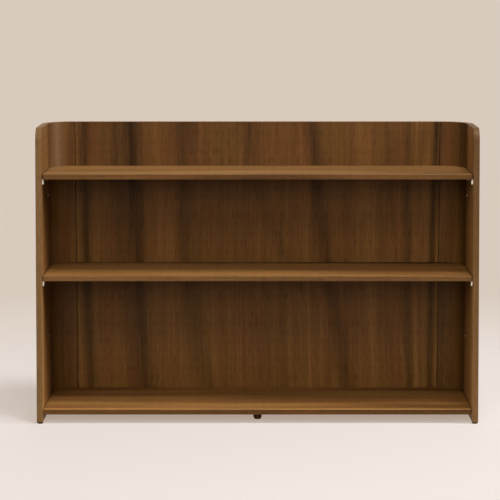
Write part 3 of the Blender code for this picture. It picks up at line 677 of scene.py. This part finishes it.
def thread_tree():
    """Threaded rod: a fine cylinder whose side is drawn in along a helix."""
    tree, given = new_tree("thread", {"Radius": FLOAT, "Length": FLOAT, "Pitch": FLOAT, "Depth": FLOAT,
                                      "Steps": INT, "Rings": INT, "Finish": MATERIAL})
    rod = step(tree, "GeometryNodeMeshCylinder",
               {"Vertices": given["Steps"], "Side Segments": given["Rings"], "Radius": given["Radius"],
                "Depth": given["Length"]})
    place = step(tree, "GeometryNodeInputPosition")
    split = node(tree, "ShaderNodeSeparateXYZ", {0: place}).outputs
    angle = calc(tree, "ARCTAN2", split["Y"], split["X"])
    climb = calc(tree, "DIVIDE", split["Z"], given["Pitch"])
    phase = calc(tree, "MULTIPLY_ADD", angle, -0.5 / pi, climb)
    flank = calc(tree, "PINGPONG", phase, 0.5)
    inward = calc(tree, "MULTIPLY", calc(tree, "MULTIPLY", flank, -2.0), given["Depth"])
    spoke = vector_calc(tree, "MULTIPLY", place, (1.0, 1.0, 0.0))
    unit = vector_calc(tree, "NORMALIZE", spoke)
    pull = step(tree, "ShaderNodeVectorMath", {0: unit, "Scale": inward}, operation="SCALE")
    cut = step(tree, "GeometryNodeSetPosition", {"Geometry": rod, "Offset": pull})
    return close_tree(tree, cut, given["Finish"])


FLAT_BOARD = flat_board_tree()
BENT_BOARD = bent_board_tree()
HOLES = holes_tree()
FITTINGS = fittings_tree()
THREAD = thread_tree()


def grow(tree, mesh, **values):
    """Plain mesh that a node tree makes from a mesh and its named sizes."""
    piece = show(bpy.data.objects.new(tree.name, mesh))
    modifier = piece.modifiers.new(tree.name, "NODES")
    modifier.node_group = tree
    for item in tree.interface.items_tree:
        key = item.name.lower().replace(" ", "_")
        if item.in_out == "INPUT" and key in values:
            modifier[item.identifier] = values[key]
    return bake(piece)


# Holes and grooves
def drill(holes):
    """Cutter for round holes; each hole is (start, end, radius)."""
    mesh = point_mesh([(start + end) / 2 for start, end, _ in holes])
    mark(mesh, "direction", [(end - start).normalized() for start, end, _ in holes], "FLOAT_VECTOR")
    mark(mesh, "radius", [radius for _, _, radius in holes])
    mark(mesh, "length", [(end - start).length for start, end, _ in holes])
    return grow(HOLES, mesh, steps=HOLE_STEPS, finish=BOARD_CORE)


def hole(name, axis, start, end, radius, **given):
    """Round hole for a node along an axis, with a gap round it."""
    first = middle_of(name, **given, **{axis: start})
    last = middle_of(name, **given, **{axis: end})
    return first, last, radius + FIT


def nail_hole(name):
    return hole(name, "z", PANEL_FOOT - OVERCUT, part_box(name)[1].z + FIT, NAIL_RADIUS)


def reach(name):
    """Least and greatest distance of a node from the middle of the bookcase."""
    return sorted(abs(corner.x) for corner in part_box(name))


def spline_grooves(*names):
    """Cutter for loose tongues, open at the foot of the panel."""
    room = Vector((FIT, FIT, FIT))
    boxes = []
    for low, high in map(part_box, names):
        boxes.append((low - room - Vector((0.0, 0.0, OVERCUT)), high + room))
    mesh = blocks(*boxes)
    mesh.materials.append(BOARD_CORE)
    return mesh


# Boards
def flat_board(corners, thickness, round_steps, finish):
    """Board of a closed outline; each corner is (x, y, rounding radius)."""
    count = len(corners)
    outline = point_mesh([(x, y, 0.0) for x, y, _ in corners], [(i, (i + 1) % count) for i in range(count)])
    mark(outline, "round", [radius for _, _, radius in corners])
    return grow(FLAT_BOARD, outline, thickness=thickness, round_steps=round_steps, finish=finish)


def finish_board(name, mesh, arris, cutters, rule, body="case", slot="walnut_upright"):
    """Round a board's edges, cut its grooves and holes, and lay its veneer."""
    form = bmesh.new()
    form.from_mesh(mesh)
    close_up(form)
    form.to_mesh(mesh)
    form.free()
    mesh = smooth(carve(mesh, "DIFFERENCE", *cutters, arris=arris, material_mode="TRANSFER"))
    veneer = mesh.uv_layers.new(name="veneer")
    surfaces = []
    for face in mesh.polygons:
        for corner in face.loop_indices:
            point = mesh.vertices[mesh.loops[corner].vertex_index].co
            across, along, surface = rule(point, face.normal)
            veneer.data[corner].uv = across, along
        surfaces.append(surface)
    values = {"tone": [TONES[surface].get(name, 0.0) for surface in surfaces],
              "dull": [DULL.get(surface, {}).get(name, 0.0) for surface in surfaces],
              "figure": [EDGE_FIGURE if surface == "edge" else 1.0 for surface in surfaces]}
    for label, row in values.items():
        mark(mesh, label, row, domain="FACE")
    add_piece(name + "_board", mesh, body, slot, name)


def side_veneer(point, normal):
    side = side_of(point.x)
    if normal.y > SIDE_JOINT_TURN:
        return EDGE_VENEER + point.x, point.z, "joint"
    if abs(normal.x) < EDGE_TURN:
        return EDGE_VENEER + point.x, point.y + point.z, "edge"
    across = side * (SIDE_SEAM + SEAM_Y - point.y)
    if normal.x * side > 0:
        return across + OUTER_VENEER, point.z, "outer"
    return across, point.z, "face"


def corner_veneer(point, normal):
    side = side_of(point.x)
    spoke = Vector((abs(point.x) - SEAM_X, point.y - SEAM_Y))
    run = SEAM_X + CORNER_RUN * (1.0 - atan2(spoke.y, spoke.x) / (pi / 2))
    if abs(normal.z) > EDGE_TURN:
        return EDGE_VENEER + spoke.length, side * run, "edge"
    at_back = spoke.x < 2 * PANEL_ARRIS and abs(normal.x) > BACK_JOINT_TURN
    at_side = spoke.y < 2 * PANEL_ARRIS and abs(normal.y) > SIDE_JOINT_TURN
    if at_back or at_side:
        return side * run, point.z, "joint"
    if normal.x * side * spoke.x + normal.y * spoke.y > 0:
        return side * run + OUTER_VENEER, point.z, "outer"
    return side * run, point.z, "face"


def back_veneer(point, normal):
    if abs(normal.z) > EDGE_TURN:
        return EDGE_VENEER + point.y, point.x, "edge"
    if abs(normal.x) > BACK_JOINT_TURN:
        return point.x, point.z, "joint"
    if normal.y > 0:
        return point.x + OUTER_VENEER, point.z, "outer"
    return point.x, point.z, "face"


def shelf_veneer(sheet):
    """Rule for a shelf that is cut from a sheet of its own."""
    def rule(point, normal):
        if abs(normal.z) < EDGE_TURN:
            behind = point.y - front_at(point.z)
            return EDGE_VENEER + sheet + point.z, point.x + side_of(point.x) * behind, "edge"
        return point.y + sheet + (SHELF_VENEER if normal.z > 0 else UNDER_VENEER), point.x, "face"
    return rule


def side_holes(hand, side):
    """Holes in a side for a glide's nail, bolts, dowels, lock screws and pins, with spare ones."""
    mouth = side * (SIDE_INSIDE - OVERCUT)
    holes = [nail_hole(f"{hand}_front_glide")]
    radii = {**dict.fromkeys(CAM_BOLTS, BOLT_RADIUS), **dict.fromkeys(DOWELS, DOWEL_RADIUS),
             **dict.fromkeys(SIDE_LOCKS, LOCK_SHANK_RADIUS), **dict.fromkeys(PINS, PIN_PEG_RADIUS)}
    for name, radius in radii.items():
        if hand not in name:
            continue
        tip = side * (reach(name)[1] + FIT)
        levels = [middle_of(name).z]
        if name in PINS:
            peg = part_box(name)[1].z - PIN_PEG_DROP
            levels = [peg - PIN_HOLE_PITCH, peg, peg + PIN_HOLE_PITCH]
        holes += [hole(name, "x", mouth, tip, radius, z=level) for level in levels]
    return holes


def side_board(hand, side):
    name = f"{hand}_side_panel"
    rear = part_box(name)[1].y
    corners = [(rear, PANEL_FOOT, 0.0), (front_at(PANEL_FOOT), PANEL_FOOT, 0.0),
               (front_at(HEIGHT), HEIGHT, BROW_RADIUS), (rear, HEIGHT, 0.0)]
    mesh = flat_board(corners, PANEL, ROUND_STEPS // 2, UPRIGHT_WALNUT)
    upright = Matrix.Rotation(pi / 2, 4, "Z") @ Matrix.Rotation(pi / 2, 4, "X")
    start = SIDE_INSIDE if side > 0 else -SIDE_INSIDE - PANEL
    mesh.transform(Matrix.Translation((start, 0.0, 0.0)) @ upright)
    cutters = [spline_grooves(f"{hand}_side_spline"), drill(side_holes(hand, side))]
    finish_board(name, mesh, PANEL_ARRIS, cutters, side_veneer)


def corner_board(hand, side):
    mesh = grow(BENT_BOARD, point_mesh([]), middle_radius=CORNER_RADIUS + PANEL / 2, thickness=PANEL,
                height=HEIGHT - PANEL_FOOT, round_steps=ROUND_STEPS + 1, finish=UPRIGHT_WALNUT)
    flip = Matrix.Diagonal((side, 1.0, 1.0, 1.0))
    mesh.transform(flip @ Matrix.Translation((SEAM_X, SEAM_Y, (PANEL_FOOT + HEIGHT) / 2)))
    cutters = [spline_grooves(f"{hand}_side_spline", f"{hand}_back_spline"),
               drill([nail_hole(f"{hand}_corner_glide")])]
    finish_board(f"{hand}_corner_panel", mesh, PANEL_ARRIS, cutters, corner_veneer)


def back_board():
    corners = [(BACK_LOW.x, BACK_INSIDE, 0.0), (BACK_HIGH.x, BACK_INSIDE, 0.0),
               (BACK_HIGH.x, BACK, 0.0), (BACK_LOW.x, BACK, 0.0)]
    mesh = flat_board(corners, HEIGHT - PANEL_FOOT, 1, BACK_WALNUT)
    mesh.transform(Matrix.Translation((0.0, 0.0, PANEL_FOOT)))
    recesses = []
    holes = []
    for names, head, shank in REAR_SCREW_SETS.values():
        for name in names:
            tip = max(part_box(name)[0].y - FIT, BACK_INSIDE - OVERCUT)
            recesses.append(hole(name, "y", BACK + OVERCUT, BACK - head - FIT, size_of(name).x / 2))
            holes.append(hole(name, "y", BACK - head, tip, shank))
    cutters = [spline_grooves(*(f"{hand}_back_spline" for hand in SIDES)), drill(recesses), drill(holes)]
    finish_board("back_panel", mesh, PANEL_ARRIS, cutters, back_veneer)


def bottom_shelf_cutters():
    """Sockets for the cams and the foot's insert, and bores for bolts, dowels and screws."""
    sockets = []
    for name in (*CAMS, "centre_foot_insert"):
        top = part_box(name)[1].z + FIT
        sockets.append(hole(name, "z", TOE_SPACE - OVERCUT, top, size_of(name).x / 2))
    bores = []
    for names, radius in ((CAM_BOLTS, BOLT_HEAD_RADIUS), (DOWELS, DOWEL_RADIUS)):
        for name in names:
            side = side_of(middle_of(name).x)
            tip = side * (reach(name)[0] - FIT)
            bores.append(hole(name, "x", side * (SIDE_INSIDE + OVERCUT), tip, radius))
    for name in BACK_SCREWS:
        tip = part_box(name)[0].y - FIT
        bores.append(hole(name, "y", BACK_INSIDE + OVERCUT, tip, BACK_SCREW_SHANK_RADIUS))
    return [drill(sockets), drill(bores)]


def shelf_board(name):
    low, high = SHELF_BOX[name]
    gap = SIDE_INSIDE - high.x
    rear_round = CORNER_RADIUS - gap
    corners = [(low.x, low.y, 0.0), (high.x, low.y, 0.0), (high.x, high.y, rear_round),
               (low.x, high.y, rear_round)]
    mesh = flat_board(corners, high.z - low.z, ROUND_STEPS, SHELF_WALNUT)
    mesh.transform(Matrix.Translation((0.0, 0.0, low.z)))
    body = "case" if name == "bottom_shelf" else name
    cutters = bottom_shelf_cutters() if name == "bottom_shelf" else []
    finish_board(name, mesh, SHELF_ARRIS, cutters, shelf_veneer(SHEETS[name]), body, "walnut_shelf")


for hand_name, hand_side in SIDES.items():
    side_board(hand_name, hand_side)
    corner_board(hand_name, hand_side)
back_board()
for shelf_name in SHELVES:
    shelf_board(shelf_name)


# Fittings
def turned(name, profile, steps=TURN_STEPS):
    """Closed mesh of a profile, given as (radius, z) down its outer side, turned about Z."""
    form = bmesh.new()
    line = [form.verts.new((r, 0.0, z)) for r, z in profile]
    edges = [form.edges.new(pair) for pair in zip(line, line[1:])]
    bmesh.ops.spin(form, geom=line + edges, cent=(0.0, 0.0, 0.0), axis=(0.0, 0.0, 1.0), angle=2 * pi,
                   steps=steps, use_merge=True)
    close_up(form)
    return mesh_from(form, name)


def quarter(centre, radius, start, end, steps=6):
    """Points of an arc in a profile, angles in degrees from straight out."""
    angles = [radians(start + (end - start) * i / steps) for i in range(steps + 1)]
    return [(centre[0] + radius * cos(a), centre[1] + radius * sin(a)) for a in angles]


def cross(length, width, depth, z):
    """Two crossing slots below a level."""
    sizes = ((length / 2, width / 2), (width / 2, length / 2))
    return [blocks(((-x, -y, z - depth), (x, y, z + depth))) for x, y in sizes]


def fit_all(name, pattern, finish, slot, places):
    """One piece of many like fittings; places gives the (point, turn) of each node."""
    mesh = point_mesh([point for point, _ in places.values()])
    mark(mesh, "turn", [turn for _, turn in places.values()], "FLOAT_VECTOR")
    sample = show(bpy.data.objects.new(name + "_pattern", pattern))
    result = smooth(grow(FITTINGS, mesh, fitting=sample, finish=finish))
    bpy.data.objects.remove(sample)
    add_piece(name, result, "case", slot, *places)


def to_side(name):
    """Turn that points a fitting to the side that it belongs to."""
    return (0.0, 0.0, 0.0 if middle_of(name).x > 0 else pi)


def shelf_pin_pattern():
    """Pin with a rounded block head; zero is on the peg's axis at the panel, the peg points to +X."""
    size = size_of("top_shelf_pin_right_front")
    head = blocks(((-PIN_HEAD_THICKNESS - FIT, -size.y / 2, PIN_PEG_DROP - size.z),
                   (-FIT, size.y / 2, PIN_PEG_DROP)))
    start = -PIN_HEAD_THICKNESS / 2
    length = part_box("top_shelf_pin_right_front")[1].x - SIDE_INSIDE
    peg = turned("peg", [(0.0, length), (PIN_PEG_RADIUS - PIN_PEG_CHAMFER, length),
                         (PIN_PEG_RADIUS, length - PIN_PEG_CHAMFER), (PIN_PEG_RADIUS, start), (0.0, start)])
    peg.transform(Matrix.Rotation(pi / 2, 4, "Y"))
    return carve(head, "UNION", peg, arris=PIN_HEAD_ARRIS)


def shelf_pins():
    places = {}
    for name in PINS:
        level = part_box(name)[1].z - PIN_PEG_DROP
        inside = side_of(middle_of(name).x) * SIDE_INSIDE
        places[name] = middle_of(name, x=inside, z=level), to_side(name)
    fit_all("shelf_pin_set", shelf_pin_pattern(), SATIN_NICKEL, "nickel", places)


def screw_pattern(head_radius, head_height, shank_radius, length):
    """Dome-headed screw with a cross recess; the underside of the head is at zero, the point is down."""
    angles = [i / DOME_STEPS * pi / 2 for i in range(DOME_STEPS + 1)]
    dome = [(head_radius * sin(a), head_height * cos(a)) for a in angles]
    shank = [(shank_radius, 0.0), (shank_radius, 2 * shank_radius - length), (0.0, -length)]
    slots = cross(CROSS_REACH * head_radius, CROSS_WIDTH, CROSS_DEPTH, head_height)
    return carve(turned("screw", dome + shank), "DIFFERENCE", *slots)


def side_lock_screws():
    size = size_of("right_side_lock_screw_lower")
    pattern = screw_pattern(size.z / 2, LOCK_HEAD_HEIGHT, LOCK_SHANK_RADIUS, size.x - LOCK_HEAD_HEIGHT)
    places = {}
    for name in SIDE_LOCKS:
        side = side_of(middle_of(name).x)
        seat = side * (reach(name)[0] + LOCK_HEAD_HEIGHT)
        places[name] = middle_of(name, x=seat), (0.0, -side * pi / 2, 0.0)
    fit_all("side_lock_screw_set", pattern, SHADED_NICKEL, "nickel", places)


def rear_screws(set_name, names, head, shank):
    size = size_of(names[0])
    pattern = screw_pattern(size.x / 2, head, shank, size.y - head)
    places = {name: (middle_of(name, y=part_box(name)[1].y - head), (-pi / 2, 0.0, 0.0)) for name in names}
    fit_all(set_name, pattern, NICKEL, "nickel", places)


def cams():
    """Cam locks: a rim round a cross slot below, and a pocket for the bolt towards the side."""
    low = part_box("cam_right_front")[0]
    size = size_of("cam_right_front")
    radius = size.x / 2
    body = turned("cam", [
        (0.0, size.z), (radius, size.z), (radius, CAM_RIM / 2), (radius - CAM_RIM / 2, 0.0),
        (radius - CAM_RIM, 0.0), (radius - CAM_RIM, CAM_RIM / 2), (0.0, CAM_RIM / 2)])
    pocket_radius = BOLT_HEAD_RADIUS + FIT
    pocket_end = -BOLT_HEAD_LENGTH / 2 - FIT
    pocket = turned("pocket", [
        (0.0, radius + OVERCUT), (pocket_radius, radius + OVERCUT), (pocket_radius, pocket_end),
        (0.0, pocket_end)], HOLE_STEPS)
    bolt_level = middle_of("cam_bolt_right_front").z - low.z
    pocket.transform(Matrix.Translation((0.0, 0.0, bolt_level)) @ Matrix.Rotation(pi / 2, 4, "Y"))
    slots = cross(CAM_SLOT_LENGTH, CAM_SLOT_WIDTH, CAM_SLOT_DEPTH, 0.0)
    pattern = carve(body, "DIFFERENCE", pocket, *slots)
    places = {name: (middle_of(name, z=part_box(name)[0].z), to_side(name)) for name in CAMS}
    fit_all("cam_set", pattern, ZINC, "zinc", places)


def glides():
    """Round glides, each with a nail that goes up into a panel."""
    nail_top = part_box(GLIDES[0])[1].z
    radius = size_of(GLIDES[0]).x / 2
    top = PANEL_FOOT - FIT
    pattern = turned("glide", [
        (0.0, nail_top), (NAIL_RADIUS, nail_top - 2 * NAIL_RADIUS), (NAIL_RADIUS, top),
        (radius - FIT, top), (radius, top - FIT),
        *quarter((radius - GLIDE_ROUND, GLIDE_ROUND), GLIDE_ROUND, 0, -90), (0.0, 0.0)])
    places = {name: (middle_of(name, z=0.0), (0.0, 0.0, 0.0)) for name in GLIDES}
    fit_all("glide_set", pattern, GLIDE_PLASTIC, "glide_plastic", places)


def centre_foot():
    """Foot, its threaded stud and the pad that it stands on."""
    low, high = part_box("centre_foot")
    stud_low, stud_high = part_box("centre_foot_stud")
    pad_low, pad_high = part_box("centre_foot_pad")
    place = Matrix.Translation(middle_of("centre_foot", z=0.0))

    radius = (high.x - low.x) / 2
    bore = STUD_RADIUS + FIT
    stub_bore = PAD_STUB_RADIUS + FIT
    stub_end = pad_high.z + FIT
    foot = turned("foot", [
        (0.0, stud_low.z - FIT), (bore, stud_low.z - FIT), (bore, high.z),
        *quarter((radius - FOOT_TOP_ROUND, high.z - FOOT_TOP_ROUND), FOOT_TOP_ROUND, 90, 0),
        *quarter((radius - FOOT_LOWER_ROUND, low.z + FOOT_LOWER_ROUND), FOOT_LOWER_ROUND, 0, -90, 8),
        (stub_bore, low.z), (stub_bore, stub_end), (0.0, stub_end)], FOOT_STEPS)
    foot.transform(place)
    foot.materials.append(FOOT_PLASTIC)
    add_piece("foot_knob", smooth(foot), "centre_foot", "foot_plastic", "centre_foot")

    length = stud_high.z - stud_low.z
    stud = grow(THREAD, point_mesh([]), radius=STUD_RADIUS, length=length, pitch=THREAD_PITCH,
                depth=THREAD_DEPTH, steps=THREAD_STEPS, rings=int(THREAD_RINGS * length / THREAD_PITCH),
                finish=ZINC)
    stud.transform(place @ Matrix.Translation((0.0, 0.0, (stud_low.z + stud_high.z) / 2)))
    add_piece("foot_thread", smooth(stud, THREAD_CREASE_ANGLE), "centre_foot", "zinc", "centre_foot_stud")

    rim = (pad_high.x - pad_low.x) / 2 - PAD_ROUND
    pad = turned("pad", [
        (0.0, pad_high.z), (PAD_STUB_RADIUS, pad_high.z), (PAD_STUB_RADIUS, PAD_HEIGHT),
        *quarter((rim, PAD_HEIGHT - PAD_ROUND), PAD_ROUND, 90, 0),
        *quarter((rim, PAD_ROUND), PAD_ROUND, 0, -90), (0.0, 0.0)], FOOT_STEPS)
    pad.transform(place)
    pad.materials.append(RUBBER)
    add_piece("foot_pad", smooth(pad), "centre_foot_pad", "rubber", "centre_foot_pad")


shelf_pins()
side_lock_screws()
for set_name, screw_set in REAR_SCREW_SETS.items():
    rear_screws(set_name, *screw_set)
cams()
glides()
centre_foot()

# Frame nodes that keep their shape
KEPT = {SHADED_PLYWOOD: SPLINES, BEECH: DOWELS, ZINC: [*CAM_BOLTS, "centre_foot_insert"]}
for kept_finish, kept_names in KEPT.items():
    for kept_name in kept_names:
        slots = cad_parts[kept_name].data.materials
        slots.clear()
        slots.append(kept_finish)


# Studio
FLOOR_COLOUR = (0.745, 0.600, 0.490)      # warm, in shadow
FLOOR_PAINT_COLOUR = (0.73, 0.77, 0.83)   # cool, in lamp light
FLOOR_BOUNCE_COLOUR = (0.735, 0.672, 0.610)
BACKDROP_COLOUR = (0.690, 0.597, 0.515)
FLOOR_SIZE = 30.0
FLOOR_THICKNESS = 0.02
FLOOR_GLOW = 0.55           # share of the floor's colour that is shown as it is
FLOOR_BOUNCE = 0.16         # share of its light that goes on to the bookcase
FADE_START, FADE_END = 0.9, 2.4
FRONT_GLOW = 0.08           # how much of the background's light shiny surfaces get from the front
FRONT_REACH = 1.6
SOFT_COLOUR = (1.0, 0.965, 0.92)
SOFT_STRENGTH = 0.10
LAMP_COLOUR = (1.0, 0.955, 0.90)
LAMP_TARGET = (0.0, 0.0, 0.40)

# Lamps: place, direction of the long side, size, watts, and whether shiny surfaces show the lamp
LAMPS = {
    "right_key": ((5.66, -0.76, 2.27), (0.0, 0.0, 1.0), (1.9, 1.0), 340.0, True),
    "overhead": ((1.26, -1.65, 5.98), (0.85, -0.45, -0.30), (2.4, 1.0), 195.0, True),
    "left_fill": ((-5.85, -0.82, 1.44), (0.0, 0.0, 1.0), (1.5, 1.2), 85.0, False),
    "front_fill": ((-0.40, -5.76, 1.94), (1.0, 0.0, 0.0), (3.5, 2.2), 194.0, False),
    "high_fill": ((-0.20, -4.79, 4.01), (1.0, 0.0, 0.0), (3.0, 1.2), 105.0, False),
    "rear_fill": ((0.0, 5.4, 2.6), (1.0, 0.0, 0.0), (3.0, 1.5), 130.0, False),
}

# Camera, at the photograph's viewing angle
CAMERA_PLACE = (0.0, -5.536, 1.242)
CAMERA_TILT = 7.43          # degrees below the horizon
CAMERA_LENS = 143.1
CAMERA_SHIFT = (-0.015, -0.040)


def opaque(colour, light=1.0):
    return (*(light * c for c in colour), 1.0)


def blend(tree, share, first, second):
    """Colour between two."""
    return step(tree, "ShaderNodeMixRGB", {"Fac": share, "Color1": first, "Color2": second})


def seen_ray(tree):
    """1 where the background is looked at, straight or in a shiny surface."""
    path = node(tree, "ShaderNodeLightPath").outputs
    seen = calc(tree, "MAXIMUM", path["Is Camera Ray"], path["Is Glossy Ray"])
    return calc(tree, "MAXIMUM", seen, path["Is Transmission Ray"])


def glow_strength(tree, place, reach_forward):
    """Full strength, but less in what a shiny surface shows of the studio in front."""
    ahead = node(tree, "ShaderNodeSeparateXYZ", {0: place}).outputs["Y"]
    loss = remap(tree, calc(tree, "DIVIDE", ahead, -reach_forward), 0.0, 1.0, 0.0, FRONT_GLOW - 1.0)
    shiny = node(tree, "ShaderNodeLightPath").outputs["Is Glossy Ray"]
    return calc(tree, "MULTIPLY_ADD", shiny, loss, 1.0)


def floor():
    """Pale floor that keeps the shadow near the bookcase and fades into the background."""
    mesh = blocks(((-FLOOR_SIZE, -FLOOR_SIZE, -FLOOR_THICKNESS), (FLOOR_SIZE, FLOOR_SIZE, 0.0)))
    ground = show(bpy.data.objects.new("floor", mesh))
    material, tree, _ = new_material("pale_floor")
    tree.nodes.clear()
    place = object_place(tree)
    away = node(tree, "ShaderNodeVectorMath", {0: place}, operation="LENGTH").outputs["Value"]
    fade = remap(tree, away, FADE_START, FADE_END, interpolation_type="SMOOTHSTEP")
    colour = blend(tree, fade, opaque(FLOOR_COLOUR), opaque(BACKDROP_COLOUR))
    shine = step(tree, "ShaderNodeEmission",
                 {"Color": colour, "Strength": glow_strength(tree, place, FRONT_REACH)})
    bounce = node(tree, "ShaderNodeLightPath").outputs["Is Diffuse Ray"]
    tint = blend(tree, bounce, opaque(FLOOR_PAINT_COLOUR), opaque(FLOOR_BOUNCE_COLOUR, FLOOR_BOUNCE))
    paint = step(tree, "ShaderNodeBsdfDiffuse", {"Color": tint})
    share = calc(tree, "MULTIPLY", remap(tree, fade, 0.0, 1.0, FLOOR_GLOW, 1.0), seen_ray(tree))
    both = step(tree, "ShaderNodeMixShader", {0: share, 1: paint, 2: shine})
    node(tree, "ShaderNodeOutputMaterial", {"Surface": both})
    mesh.materials.append(material)


def studio_world():
    """Soft light from all round, with the backdrop's colour where it is looked at."""
    world = bpy.data.worlds.new("studio")
    world.use_nodes = True
    bpy.context.scene.world = world
    tree = world.node_tree
    tree.nodes.clear()
    soft = step(tree, "ShaderNodeBackground", {"Color": opaque(SOFT_COLOUR), "Strength": SOFT_STRENGTH})
    direction = node(tree, "ShaderNodeTexCoord").outputs["Generated"]
    backdrop = step(tree, "ShaderNodeBackground",
                    {"Color": opaque(BACKDROP_COLOUR), "Strength": glow_strength(tree, direction, 1.0)})
    both = step(tree, "ShaderNodeMixShader", {0: seen_ray(tree), 1: soft, 2: backdrop})
    node(tree, "ShaderNodeOutputWorld", {"Surface": both})


def softbox(name, place, along, size, power, shine):
    """Area lamp that faces the bookcase, its long side near a direction, with or without reflections."""
    lamp = bpy.data.lights.new(name, "AREA")
    lamp.shape = "RECTANGLE"
    lamp.size, lamp.size_y = size
    lamp.energy = power
    lamp.color = LAMP_COLOUR
    back = (Vector(place) - Vector(LAMP_TARGET)).normalized()
    long_side = (Vector(along) - back * back.dot(Vector(along))).normalized()
    axes = Matrix((long_side, back.cross(long_side), back)).transposed().to_4x4()
    holder = show(bpy.data.objects.new(name, lamp))
    holder.matrix_world = Matrix.Translation(place) @ axes
    holder.visible_glossy = shine


def camera():
    lens = bpy.data.cameras.new("camera")
    lens.lens = CAMERA_LENS
    lens.shift_x, lens.shift_y = CAMERA_SHIFT
    holder = show(bpy.data.objects.new("camera", lens))
    holder.location = CAMERA_PLACE
    holder.rotation_euler = (radians(90.0 - CAMERA_TILT), 0.0, 0.0)
    bpy.context.scene.camera = holder


floor()
studio_world()
for lamp_name, lamp_values in LAMPS.items():
    softbox(lamp_name, *lamp_values)
camera()
bpy.context.scene.view_settings.view_transform = "Standard"
